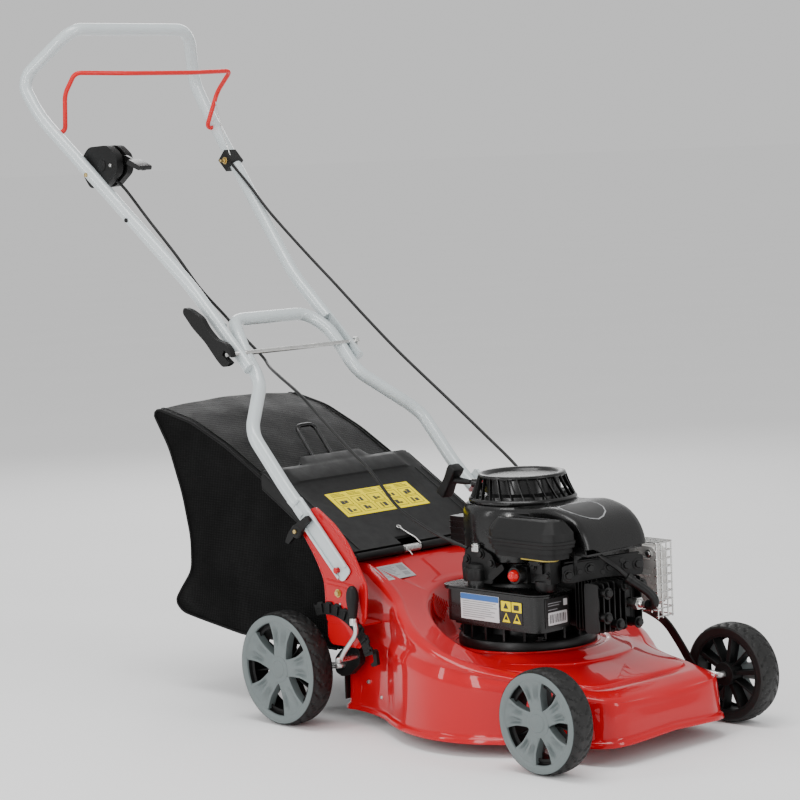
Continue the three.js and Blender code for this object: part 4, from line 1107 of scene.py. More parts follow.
def make_starter():
    """Top of the engine: the vaned starter cover, the shroud with its hood, and the grip on its rope."""
    disc = lathe(
        [
            (0, 390.4), (20, 390.2), (40, 389.6), (52, 388.6), (56, 388.2), (58.5, 390.5), (61.5, 393.6),
            (64, 394), (66, 393.2), (67.4, 390.4), (66.5, 388), (60, 386.5), (0, 386)
        ],
        (CRANK_X, 0, 0), sides=96
    )
    ring = lathe(
        [(76, 352.5), (82.6, 352.5), (83, 355.5), (81.6, 357.6), (79.2, 359.2), (77, 358), (75, 355)],
        (CRANK_X, 0, 0), sides=96
    )
    inner = lathe(
        [(0, 387), (57, 387), (59, 366), (71, 362.4), (72, 357), (76, 353.2), (71, 353.2), (68, 358), (0, 360)],
        (CRANK_X, 0, 0), sides=72
    )
    vanes = []
    for i in range(VANES):
        a0 = math.radians(i * 360 / VANES)
        line = []
        for t in (0, 0.25, 0.5, 0.75, 1):
            a = a0 + math.radians(9.5 * t)
            r = 65.2 + 13.6 * t**1.25
            line.append(Vector((CRANK_X + r * math.cos(a), r * math.sin(a), 389.5 - 33.5 * t)))
        across = Vector((-math.sin(a0), math.cos(a0), 0.18))
        vanes.append(strap(line, 5.2, 1.7, across))
    show(
        "starter_cover_vanes", "chassis", "gloss", merged(disc, ring, inner, *vanes), nodes=["starter_cover"],
        sharp=38, edge=0.35
    )
    nozzle = lathe([(4.4, -6), (6.6, -6), (7.2, 4), (7.6, 5.5), (6.2, 6.2), (4.4, 6.2)], (0, 0, 0), "X", 28)
    nozzle = moved(turned(nozzle, 18, "Z", (0, 0, 0)), -305, -25, 374)
    body = lathe(
        [
            (88.4, 268), (92, 268), (92.2, 274), (92, 336), (91, 342), (88, 347.5), (84, 350.8), (80, 352),
            (76, 352), (76, 349.6), (80, 349), (86, 345), (88.4, 338)
        ],
        (CRANK_X, 0, 0), sides=96
    )
    top_line = smooth(
        (
            (-215, 352, 0), (-180, 352, 0), (-144, 353, 0), (-112, 355.4, 0), (-88, 351.4, 0), (-68, 344.5, 0),
            (-54, 335, 0), (-43, 321, 0), (-36, 305, 0), (-33.4, 292, 0)
        ),
        7
    )
    hood_out = [(p.x, p.y) for p in top_line] + [
        (p.x - 2.4 - 1.2 * (p.y < 340), p.y - 3.2 * (p.y > 330) - 1.0 * (p.y <= 330))
        for p in reversed(top_line)
    ]
    rows = []
    ys = [-72, -71.2, -68, -60, -44, -24, -6, 12, 30, 46, 55, 58.2, 59]
    crown = [-7, -3.4, -1.0, 0, 0, 0, 0, 0, 0, 0, -1.0, -3.4, -7]
    for y, drop in zip(ys, crown):
        lift = 9.0 if y < -52 else 0.0
        rows.append(
            [
                Vector(
                    (
                        x + drop * 0.8 * max(0.0, (x + 100) / 70), y,
                        max(z, 289 + lift) + drop * min(1.0, max(0.0, (z - 300) / 45))
                    )
                )
                for x, z in hood_out
            ]
        )
    sides = []
    for y0, y1 in ((-71.4, -68.6), (55.6, 58.4)):
        top = [
            (-150, 290), (-150, 344), (-140, 345), (-112, 348), (-88, 344), (-69, 337), (-57, 329), (-47, 316),
            (-41, 302), (-38, 291), (-56, 290), (-62, 296), (-90, 296), (-96, 290)
        ]
        sides.append(plate(top, y0, y1))
    hood = skin(rows)
    sides.append(brick((-70, -66, 258), (-66, 54, 330)))
    sides.append(brick((-66, -66, 287), (-40, 54, 290)))
    coil = brick((-350, -40, 276), (-310, -8, 322))
    coil_ribs = [brick((-351, -41, z), (-312, -7, z + 2.6)) for z in (282, 292, 302, 312)]
    show(
        "engine_shroud", "chassis", "gloss", merged(body, hood, *sides, coil, *coil_ribs, nozzle),
        nodes=["blower_housing"], sharp=36, edge=0.9
    )
    # A plain badge with a silver outline on the hood's front, and no letters.
    def on_hood(x, y, lift):
        k = next((i for i in range(len(top_line) - 1) if top_line[i].x <= x <= top_line[i + 1].x), 0)
        p, q = top_line[k], top_line[k + 1]
        along = (q - p).normalized()
        z = p.y + (q.y - p.y) * (x - p.x) / (q.x - p.x)
        return Vector((x - along.y * lift, y, z + along.x * lift))

    def badge(scale, lift):
        outline = [
            (-104, -58), (-107, -40), (-108, -22), (-107, -4), (-104, 14), (-92, 17), (-78, 14), (-66, 6),
            (-58, -8), (-55, -22), (-58, -36), (-66, -50), (-78, -58), (-92, -61)
        ]
        pts = [(-82 + (x + 82) * scale, -22 + (y + 22) * scale) for x, y in outline]
        ring = lambda f, h: [on_hood(-82 + (x + 82) * f, -22 + (y + 22) * f, h) for x, y in pts]
        return skin([ring(1, -1.2), ring(1, lift), ring(0.75, lift), ring(0.5, lift), ring(0.25, lift)])

    show("hood_badge", "chassis", "silver", badge(1.0, 0.5), "ink", badge(0.93, 0.9), sharp=40)
    rings = []
    for h, wide in (
        (-27, 9), (-26, 11.5), (-20, 12), (-8, 10.6), (0, 10.2), (8, 10.6),
        (20, 12), (26, 11.5), (27, 9)
    ):
        rings.append(
            [
                Vector((a * 8.4 / 12 * wide / 12, b * wide / 8.4, h))
                for a, b in soft_outline([(-12, -8.4), (12, -8.4), (12, 8.4), (-12, 8.4)], 3.4, 3)
            ]
        )
    grip = moved(turned(skin(rings), 33, "Y", (0, 0, 0)), -346, -40, 377)
    stem = tube(
        [(-343, -39, 378.6), (-330, -34.2, 377), (-322, -31.2, 376), (-314, -28.2, 375)],
        lambda t: 6.0 - 2.2 * t, 20
    )
    show(
        "starter_grip_moulding", "starter_grip", "plastic", merged(grip, stem), nodes=["starter_handle"],
        sharp=50
    )
    line = smooth(
        [
            Vector((-278, -15, 371.4)), Vector((-292, -20, 372.6)), Vector((-300, -23, 373.6)),
            Vector((-313, -27.8, 374.9))
        ],
        3
    )
    rope = show("starter_rope", None, "rubber", tube(line, 1.9, 12), sharp=60)
    at(*line[0])
    at(*line[-1])
    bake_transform(rope)
    at(*line[0])
    length_of(line)
    [at(*p) for p in line]


def make_fuel_side():
    outline = [
        (-290, -46), (-297, -50), (-297, -102), (-286, -112), (-110, -112), (-97, -99), (-97, -46), (-103, -40),
        (-126, -40), (-146, -58), (-176, -78), (-208, -88), (-240, -88), (-268, -78), (-288, -60)
    ]
    wall = plate(soft_outline(outline, 13, 7), 177, 228, "XY")
    flange_line = [
        (-294, -46), (-302, -50), (-302, -105), (-289, -117), (-107, -117), (-92, -101), (-92, -46), (-98, -40),
        (-124, -40), (-146, -60), (-176, -80), (-208, -90), (-240, -90), (-268, -80), (-290, -60)
    ]
    flange = merged(
        plate(soft_outline(flange_line, 14, 7), 225.4, 228.2, "XY"),
        plate(soft_outline(flange_line, 14, 7), 229.0, 231, "XY")
    )
    foot = plate(
        soft_outline(
            [
                (-286, -98), (-278, -108), (-116, -108), (-103, -96), (-103, -52), (-126, -52), (-170, -84),
                (-230, -94), (-268, -84)
            ],
            8
        ),
        172.6, 178, "XY"
    )
    neck = lathe([(12, 229), (18, 229), (18, 240), (12, 240)], (-240, -90, 0), "Z", 40)
    show("tank", "chassis", "gloss", merged(wall, flange, foot, neck), nodes=["fuel_tank"], sharp=35, edge=1.4)
    # Labels on the tank's side and front, with plain shapes in place of print.
    y, x = -112.5, -96.5
    side = lambda pts, lift: plate(pts, y - lift, y + 0.9)
    card = lambda x0, x1, z0, z1, lift: side(
        soft_outline([(x0, z0), (x1, z0), (x1, z1), (x0, z1)], 1.2, 3), lift
    )
    tri = lambda cx, z, r, lift: side([(cx - r, z - r * 0.8), (cx + r, z - r * 0.8), (cx, z + r)], lift)
    front = lambda y0, y1, z0, z1, lift: plate(
        soft_outline([(y0, z0), (y1, z0), (y1, z1), (y0, z1)], 1.2, 3), x - 0.9, x + lift, "YZ"
    )
    lines = [
        card(-255, -255 + w, z, z + 1.0, 0.75)
        for z, w in (
            (209.5, 70), (206.2, 64), (202.9, 72), (199.6, 58), (196.3, 68), (193, 60), (189.7, 66), (186.4, 46)
        )
    ]
    barcode = [
        front(y0, y0 + w, 187, 200, 0.75)
        for y0, w in (
            (-91, 1.4), (-88, 0.8), (-85.5, 2), (-81, 0.8), (-78.5, 1.4), (-75, 2), (-71, 0.8), (-68.6, 1.6),
            (-65, 0.8), (-62.4, 1.8), (-58.6, 1.0)
        )
    ]
    show(
        "tank_labels", "chassis", "white",
        merged(
            card(-259, -179, 182.6, 221.6, 0.45), front(-94, -54, 184, 203, 0.55),
            front(-61, -53, 210, 220, 0.55)
        ),
        "blue", merged(card(-258.5, -179.5, 212.6, 221.2, 0.7)), "ink",
        merged(
            card(-175, -131, 183, 218, 0.3), front(-99, -50, 180, 224, 0.3), tri(-164, 210, 5, 1.0),
            tri(-164, 192.6, 4, 1.0), tri(-142, 192.6, 4, 1.0), card(-148, -137, 205, 213, 0.95), *barcode
        ),
        "yellow",
        merged(
            card(-174, -154, 202, 217, 0.6), card(-152, -132, 202, 217, 0.7), tri(-164, 192, 8, 0.7),
            tri(-142, 192, 8, 0.7)
        ),
        "print",
        merged(
            *lines, *[front(-94, -94 + w, z, z + 1.2, 0.6) for z, w in ((216, 28), (212.4, 24), (206.4, 20))]
        ),
        sharp=40,
    )
    lobes = [23.4 + 1.4 * math.cos(8 * k / 96 * math.tau) for k in range(96)]
    rings = []
    for z, f in ((240.5, 0.97), (242, 1.0), (254, 1.0), (257, 0.97), (258.6, 0.9)):
        rings.append(
            [
                Vector(
                    (-240 + r * f * math.cos(k / 96 * math.tau), -90 + r * f * math.sin(k / 96 * math.tau), z)
                )
                for k, r in enumerate(lobes)
            ]
        )
    for z, r in ((258.6, 18.5), (261.6, 18), (264, 16.5), (265.6, 12), (266, 4)):
        rings.append(
            [
                Vector((-240 + r * math.cos(k / 96 * math.tau), -90 + r * math.sin(k / 96 * math.tau), z))
                for k in range(96)
            ]
        )
    show("tank_cap", "fuel_filler_cap", "plastic", skin(rings), nodes=["fuel_cap"], sharp=36)
    low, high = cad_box("oil_filler_cap")
    cx, cy = (low.x + high.x) / 2, (low.y + high.y) / 2
    oil = merged(
        lathe(
            [
                (0, low.z + 0.3), (13.6, low.z + 0.3), (14, low.z + 2), (13.4, low.z + 7), (9, low.z + 9),
                (0, low.z + 9.4)
            ],
            (cx, cy, 0), "Z", 40
        ),
        brick((cx - 9, cy - 2, low.z + 8), (cx + 9, cy + 2, high.z - 0.3))
    )
    show("oil_cap_moulding", "oil_cap", "plastic", oil, nodes=["oil_filler_cap"], sharp=40, edge=0.7)


def make_carburettor():
    px, pz = -136, 259
    body = merged(
        brick((-125, -100, 247), (-83, -77, 285)), brick((-113, -78, 253), (-101, -36, 273)),
        brick((-147, -108, 247), (-123, -92, 271))
    )
    throat = merged(
        lathe([(0, -72), (14, -72), (14, -48), (11, -46), (0, -46)], (-94, 0, 268), "Y", 32),
        brick((-120, -104, 262), (-96, -76, 280))
    )
    ring = lathe([(9.6, -121.8), (12.4, -121.8), (13, -120), (13.2, -109), (9.6, -109)], (px, 0, pz), "Y", 48)
    bowl = lathe([(0, 234), (13, 234), (16, 238), (16.6, 250), (0, 250)], (-104, -88, 0), "Z", 36)
    levers = merged(
        plate(soft_outline([(-118, 272), (-96, 276), (-94, 282), (-120, 279)], 2), -108, -106.4),
        rod((-118, -108, 276), (-118, -98, 276), 1.8, 12),
        tube(smooth(((-98, -108, 279), (-88, -110, 282), (-80, -104, 284)), 4), 1.1, 10)
    )
    screws = merged(bolt((-88, -100, 260), (0, -1, 0), 7, 4), bolt((-112, -104, 272), (0, -1, 0), 7, 4))
    gasket = merged(
        brick((-118, -101.4, 283.6), (-90, -79, 285.6)),
        plate(
            soft_outline([(-124, -121), (-74, -123), (-60, -113), (-66, -96), (-116, -100)], 4), 284.8, 286.6,
            "XY"
        )
    )
    show(
        "carburettor_body", "chassis", "cast", merged(body, throat, ring, bowl, levers, screws), "gasket",
        gasket, nodes=["carburettor"], sharp=35, edge=0.8
    )
    dome = lathe(
        [
            (0, -113.4), (9, -113.4), (9.1, -116), (8.9, -121), (8.2, -125), (6.6, -128.6), (4.2, -130.8),
            (1.8, -131.8), (0, -131.9)
        ],
        (px, 0, pz), "Y", 48
    )
    show("primer_dome", "primer", "primer", dome, nodes=["primer_bulb"], sharp=60)


FILTER_OUTLINE = [
    (-196, -104), (-190, -120), (-172, -132), (-68, -132), (-52, -123), (-45, -106), (-45, -84), (-53, -77),
    (-150, -77), (-178, -90)
]


def inset(outline, by):
    count = len(outline)
    made = []
    for i in range(count):
        (px, py), (x, y), (nx, ny) = outline[i - 1], outline[i], outline[(i + 1) % count]
        a, b = Vector((x - px, y - py)).normalized(), Vector((nx - x, ny - y)).normalized()
        scale = by / (1 + a.dot(b))
        made.append((x - (a.y + b.y) * scale, y + (a.x + b.x) * scale))
    return made


def make_filter():
    base = merged(
        plate(soft_outline(inset(FILTER_OUTLINE, 10), 4), 287, 297, "XY"),
        plate(soft_outline(inset(FILTER_OUTLINE, 5), 4), 296, 307, "XY")
    )
    show("filter_base", "chassis", "plastic", base, nodes=["air_filter_base"], sharp=35, edge=0.7)
    rings = []
    for z, by in (
        (303.6, 3.0), (304.2, 1.6), (309, 1.2), (309.8, 0.2), (313.6, 0.1), (314.4, 1.8), (325.6, 2.6),
        (327.4, 4.0), (340.4, 13.8), (342.0, 15.2), (343.2, 17.6), (343.9, 20), (343.2, 22), (343.2, 24)
    ):
        line = soft_outline(inset(FILTER_OUTLINE, by), 3.0, 3)
        rings.append([Vector((x, y, z)) for x, y in line])
    screw = bolt((-158, -104, 343), (0, 0, 1), 8, 3)
    show("filter_lid", "chassis", "plastic", skin(rings), "zinc", screw, nodes=["air_filter_cover"], sharp=16)


def make_exhaust():
    outline = [(-105, 196), (-30, 196), (-30, 284), (-105, 284)]
    body = plate(soft_outline(outline, 13, 7), 72, 95)
    seam = plate(
        soft_outline([(-106.6, 194.4), (-28.4, 194.4), (-28.4, 285.6), (-106.6, 285.6)], 14, 7), 82, 84.4
    )
    dents = [tube([(-92, 72.6, z), (-42, 72.6, z)], 2.0, 12) for z in (214, 240, 266)]
    pipe = rod((-82, 35, 225), (-82, 74, 225), 9)
    screws = merged(bolt((-92, 72, 208), (0, -1, 0), 8, 4), bolt((-43, 72, 273), (0, -1, 0), 8, 4))
    show(
        "silencer", "chassis", "muffler", merged(body, seam, *dents, pipe), "zinc", screws, nodes=["muffler"],
        sharp=35, edge=1.2
    )
    wires = []
    for i in range(10):
        z = 180 + i * (290 - 180) / 9
        wires.append(tube([(-27, 66, z), (-23, 66, z), (-23, 102, z), (-108, 102, z)], 1.1, 10, bend=4))
    for x, y in (
        (-24.2, 67.4), (-24.2, 78), (-24.2, 90), (-24.2, 100.6), (-46, 100.8), (-66, 100.8), (-86, 100.8),
        (-106, 100.8)
    ):
        wires.append(rod((x, y, 177), (x, y, 291.4), 1.25, 10))
    for y in (67, 75, 84, 93, 101):
        wires.append(tube([(-108, y, 291), (-23, y, 291)], 1.1, 10))
    for x in (-106, -86, -66, -45):
        wires.append(rod((x, 66.4, 290.4), (x, 102, 290.4), 1.1, 10))
    show("exhaust_guard", "chassis", "chrome", merged(*wires), nodes=["muffler_guard"], sharp=60)


def make_plug():
    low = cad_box("spark_plug")[0]
    body = merged(
        lathe([(0, low.x), (6.5, low.x), (6.5, -28.4), (0, -28.4)], (0, PLUG_Y, 208), "X", 30),
        lathe([(0, -27.6), (10, -27.6), (10, -18), (0, -18)], (0, PLUG_Y, 208), "X", 6),
        lathe(
            [(0, -18.4), (6.4, -18.4), (6, -14), (4.4, -12), (4.4, -3), (0, -2.4)], (0, PLUG_Y, 208), "X", 30
        ),
    )
    show("plug", "chassis", "zinc", body, nodes=["spark_plug"], sharp=36, edge=0.4)


def make_lead():
    boot = smooth(
        (
            (-3, 20, 208), (5, 20, 208), (11.5, 19, 211), (12.5, 17, 219), (6, 9, 231), (-4, -1, 241.5),
            (-14, -11, 252)
        ),
        3
    )

    def thick(t):
        return 7.4 if t < 0.12 else 6.8 if t < 0.2 else 6.9 + 1.0 * min(1, max(0, (t - 0.8) * 6))

    lead = smooth(((-11, -8, 249), (-22, -22, 266), (-32, -30, 275.5), (-40, -35, 283), (-48, -38, 290)), 3)
    collar = [tube([boot[-4], boot[-3]], 8.4, 20), tube([boot[2], boot[3]], 7.9, 20)]
    show(
        "plug_boot", "chassis", "rubber", merged(tube(boot, thick, 24), *collar), nodes=["spark_plug_lead"],
        sharp=50
    )
    wire = show("plug_lead", "chassis", "rubber", tube(lead, 3.3, 24), sharp=50)
    at(*lead[0])
    length_of(lead)
    [at(*p) for p in lead]


def make_brake_bracket():
    panel = plate(
        soft_outline([(-282, 239), (-213, 239), (-213, 262), (-240, 305), (-262, 305), (-281, 280)], 4), 95.2,
        97.8, "XZ", [ring_of(3, (-262, 288)), ring_of(5, (-240, 256))]
    )
    foot = brick((-262, 85.5, 238.4), (-222, 96, 241))
    show(
        "brake_plate", "chassis", "satin", merged(panel, foot), "zinc",
        merged(bolt((-228, 97, 250), (0, 1, 0), 9, 4), bolt((-272, 97, 250), (0, 1, 0), 9, 4)),
        nodes=["brake_bracket"], sharp=35, edge=0.5
    )


def make_control_plate():
    """Stamped black plates that carry the controls: one over the head, one beside the filter, with hexagon
    bolts."""
    turn, centre = math.radians(-27), Vector((-47, -25, 0))

    def on_plate(v, z, lift=0.0):
        across = Vector((-math.sin(turn), math.cos(turn), 0))
        ahead = Vector((math.cos(turn), math.sin(turn), 0))
        return centre + across * v + ahead * lift + Vector((0, 0, z))

    outline = soft_outline(
        [
            (-64, 249), (-50, 246), (0, 251), (60, 250), (63, 256), (63, 279), (52, 283), (20, 280), (-36, 277),
            (-64, 272)
        ],
        3
    )
    shape = skin([[on_plate(v, z, -3.4) for v, z in outline], [on_plate(v, z, -0.6) for v, z in outline]])
    flange = skin(
        [
            [on_plate(v, z, lift) for v, z in ((-60, 276), (58, 282), (58, 284), (-60, 278))]
            for lift in (-9, -0.8)
        ]
    )
    ahead = Vector((math.cos(turn), math.sin(turn), 0))
    heads = merged(
        *[
            bolt(on_plate(v, z, -0.6), ahead, 10.5, 5)
            for v, z in ((-54, 258), (-20, 266), (10, 265), (37, 266), (55, 266))
        ],
        *[stud(on_plate(v, z, -0.5), ahead, 4.2, 1.0) for v, z in ((-36, 262), (0, 259), (30, 274))]
    )
    show("head_control_plate", "chassis", "satin", merged(shape, flange), "cast", heads, sharp=35, edge=0.4)
    panel = plate(
        soft_outline(
            [(-268, 236), (-206, 236), (-196, 262), (-206, 280), (-230, 290), (-258, 288), (-270, 262)], 5
        ),
        -97, -94.6
    )
    arm = plate(soft_outline([(-206, 240), (-176, 262), (-181, 270), (-212, 250)], 4), -101, -98.4)
    bolts = [bolt((x, -97.2, z), (0, -1, 0), 9, 4.5) for x, z in ((-258, 270), (-206, 268), (-228, 280))]
    show("control_plate", "chassis", "satin", merged(panel, arm), "cast", merged(*bolts), sharp=35, edge=0.5)


def stud(place, direction, radius, height):
    """A small round stud standing on a surface."""
    direction = Vector(direction).normalized()
    return tube([place, place + direction * height], radius, 18)


# ---------------------------------------------------------------- rear flap on its spring
SLOPE = math.radians(30)


def on_flap(along, up, y=0.0):
    return Vector(
        (
            HINGE[0] - along * math.cos(SLOPE) + up * math.sin(SLOPE), y,
            HINGE[1] + along * math.sin(SLOPE) + up * math.cos(SLOPE)
        )
    )


def make_flap():
    half, length = 160.0, 240.0
    rows = []
    count = 40
    for i in range(count + 1):
        y = -half + 2 * half * i / count
        side = abs(y) / half
        end = length + (16 if abs(y) < 66 else 16 * max(0, (76 - abs(y)) / 10))
        dip = 3.2 * max(0, side - 0.965) / 0.035
        step = 1 if abs(y) < 124 else max(0, 1 - (abs(y) - 124) / 4)
        lip = 1 if abs(y) < 68 else max(0, 1 - (abs(y) - 68) / 5)
        top = [
            (6, 7.6), (14, 7.2), (60, 7.0), (120, 7.0), (188, 7.0), (191, 7 + 1.0 * step),
            (193, 7 + 3.6 * step), (196, 7 + 4 * step), (226, 7 + 4 * step), (229, 7 + 3.2 * step + 0.3 * lip),
            (232, 7 + 2 * step + 1.2 * lip), (length - 2, 7 - 0.6 + 3 * lip), (end - 3, 6.6 + 3.2 * lip),
            (end, 5.2 + 3.4 * lip)
        ]
        under = [(end, 3.6 + 3 * lip), (length - 4, 3.2 + 1.5 * lip), (190, 3.1), (60, 3.1), (6, 3.1)]
        rows.append([on_flap(a, u - (dip if u > 4 else 0), y) for a, u in [*top, *under]])
    skirts = []
    for s in (-1, 1):
        y0, y1 = s * half, s * (half - 3)
        line = soft_outline([(26, 5), (50, -19.5), (226, -19.5), (238, 5)], 9)
        flat = [on_flap(a, u) for a, u in line]
        skirts.append(plate([(p.x, p.z) for p in flat], min(y0, y1), max(y0, y1)))
        skirts.append(
            tube([on_flap(52, -18.4, s * (half - 0.6)), on_flap(224, -18.4, s * (half - 0.6))], 1.5, 10)
        )
    barrel = [
        lathe(
            [(3.5, a), (6.3, a), (6.5, a + 1), (6.5, b - 1), (6.3, b), (3.5, b)], (HINGE[0], 0, HINGE[1]), "Y",
            28
        )
        for a, b in ((-148, -50), (-9, 148))
    ]
    ribs = [
        tube([on_flap(8, 7.4, s * y), on_flap(186, 7.0, s * y)], 1.1, 8) for y in (136, 150) for s in (-1, 1)
    ]
    flap = show(
        "flap", "flap", "plastic", merged(skin(rows), *skirts, *barrel, *ribs), nodes=["rear_flap"], sharp=32
    )
    cut_with(flap, brick((HINGE[0] - 17, -49.4, HINGE[1] - 14), (HINGE[0] + 13, -9.6, HINGE[1] + 24)))
    patch = lambda a0, a1, y0, y1, lift: skin(
        [
            [
                on_flap(a0, 7.0 + lift, y0), on_flap(a1, 7.0 + lift, y0), on_flap(a1, 6.4, y0),
                on_flap(a0, 6.4, y0)
            ],
            [
                on_flap(a0, 7.0 + lift, y1), on_flap(a1, 7.0 + lift, y1), on_flap(a1, 6.4, y1),
                on_flap(a0, 6.4, y1)
            ]
        ]
    )
    marks, lines = [], []
    for row, a in enumerate((97, 119)):
        for k in range(5):
            y = -85 + k * 34.5
            frame_lines = (
                (a, a + 0.5, y, y + 28), (a + 18.8, a + 19.3, y, y + 28), (a, a + 19.3, y, y + 0.6),
                (a, a + 19.3, y + 27.4, y + 28)
            )
            lines += [patch(*edge, 0.7) for edge in frame_lines]
            marks.append(
                patch(a + 3 + 2 * (k % 2), a + 15 - 3 * row, y + 6 + k % 3, y + 11 + 2 * ((k + row) % 2), 0.75)
            )
            marks.append(patch(a + 5, a + 9 + 3 * ((k + row) % 3), y + 14, y + 21 - 2 * (k % 2), 0.75))
    for k in range(5):
        for j in range(3):
            lines.append(
                patch(143 + j * 3.4, 143.8 + j * 3.4, -84 + k * 34.5, -84 + k * 34.5 + 26 - 6 * (j == 2), 0.7)
            )
    show("flap_label", "flap", "yellow", patch(90, 154, -93, 87, 0.4), "ink", merged(*lines, *marks), sharp=40)
    show(
        "flap_rod", "chassis", "zinc", rod((HINGE[0], -189.4, HINGE[1]), (HINGE[0], 189.4, HINGE[1]), 3, 24),
        nodes=["flap_hinge_rod"], sharp=40, edge=0.4
    )
    turns, coil = 11, []
    for i in range(turns * 16 + 1):
        a = i / 16 * math.tau + 0.6
        y = -46.4 + 33.6 * i / (turns * 16)
        coil.append(Vector((HINGE[0] + 5.2 * math.cos(a), y, HINGE[1] + 5.2 * math.sin(a))))
    wire = tube(coil, 1.15, 10)
    arm = tube(
        [on_flap(0, 5.4, -10.2), on_flap(14, 8.4, -13), on_flap(30, 9.0, -20), on_flap(42, 9.2, -23)], 1.15, 10,
        bend=3
    )
    hook = tube(
        smooth(
            [on_flap(44 + 3.5 * math.cos(a), 9.2, -23 + 3.5 * math.sin(a)) for a in (0, 1, 2, 3, 4, 5, 6)], 1.2
        ),
        1.1, 10
    )
    lower_arm = tube(
        [
            (HINGE[0] + 5, -46.4, HINGE[1] - 1), (HINGE[0] + 14, -46, HINGE[1] - 2),
            (HINGE[0] + 20, -46, HINGE[1] - 8)
        ],
        1.15, 10, bend=3
    )
    show("flap_torsion_spring", "chassis", "zinc", wire, nodes=["flap_spring"], sharp=60)
    show("flap_spring_arm", "flap", "zinc", merged(arm, hook), sharp=60)
    show("flap_spring_tail", "chassis", "zinc", lower_arm, sharp=60)


def make_chute():
    ramp = plate(soft_outline([(-438, 26), (-434, 26), (-446, 112), (-450, 112)], 1, 3), -130, 130)
    ledge = plate(
        soft_outline([(-450, 108), (-446, 108), (-446, 112), (-488, 122), (-488, 118)], 1, 3), -130, 130
    )
    ribs = [
        plate([(-449, 40), (-444, 40), (-451, 104), (-456, 104)], y - 1.5, y + 1.5)
        for y in range(-100, 101, 40)
    ]
    shield = plate([(-487, 36), (-484.6, 36), (-484.6, 121), (-487, 121)], -152, 152)
    show("rear_shield", "chassis", "rubber", shield, sharp=35, edge=0.8)
    show(
        "chute_ramp", "chassis", "plastic", merged(ramp, ledge, *ribs), nodes=["discharge_chute"], sharp=35,
        edge=0.4
    )


# ---------------------------------------------------------------- grass bag
BAG_SIDE = [
    (-497, 113), (-600, 112), (-734, 112.6), (-850, 128), (-889, 134), (-907, 150), (-886, 176), (-858, 206),
    (-856, 261), (-873, 334), (-903, 410), (-941, 465), (-929, 473.4), (-843, 455.4), (-757, 420.4),
    (-657, 367.4), (-560, 311.6), (-497, 275),
]
BAG_HALF = 150.0
BAG_ROWS, BAG_COLUMNS = 181, 61  # along the outline, and across the bag
REAR_FROM, ROOF_FROM = 0.36, 0.58  # where along the outline the rear wall and the roof start
FIRST_ROOF_ROW = 104  # from this row on the wrap is plain cloth, and mesh before it


def bag_station(t):
    """The bag's outline in side view, resampled: t runs from the mouth's foot, round the rear, to its top."""
    place = t * (len(BAG_LINE) - 1)
    k = min(int(place), len(BAG_LINE) - 2)
    return BAG_LINE[k].lerp(BAG_LINE[k + 1], place - k)


def even_line(points, count):
    """The outline with its corners bent, as points at even distances."""
    line = rounded([Vector((x, z, 0)) for x, z in points], 16, 4)
    lengths = [0.0]
    for a, b in zip(line, line[1:]):
        lengths.append(lengths[-1] + (b - a).length)
    made, k = [], 0
    for i in range(count):
        target = lengths[-1] * i / (count - 1)
        while k < len(line) - 2 and lengths[k + 1] < target:
            k += 1
        part = (target - lengths[k]) / max(1e-6, lengths[k + 1] - lengths[k])
        made.append(line[k].lerp(line[k + 1], min(1.0, part)))
    return made


BAG_LINE = even_line(BAG_SIDE, BAG_ROWS)


def rear_wall(z):
    """How far back the hollow rear wall stands at a height."""
    wall = BAG_SIDE[4:12]
    for (x0, z0), (x1, z1) in zip(wall, wall[1:]):
        if z0 <= z <= z1:
            return x0 + (x1 - x0) * (z - z0) / (z1 - z0)
    return -1000.0


def slack(x, z, seed):
    """Soft creases: a few long waves of the cloth, the same on every run."""
    a = math.sin(x * 0.021 + seed) * math.sin(z * 0.017 + 1.7 * seed)
    b = math.sin(x * 0.047 - z * 0.022 + 2.1 * seed)
    c = math.sin(z * 0.061 + x * 0.012 + 0.7 * seed)
    return 0.55 * a + 0.3 * b + 0.2 * c


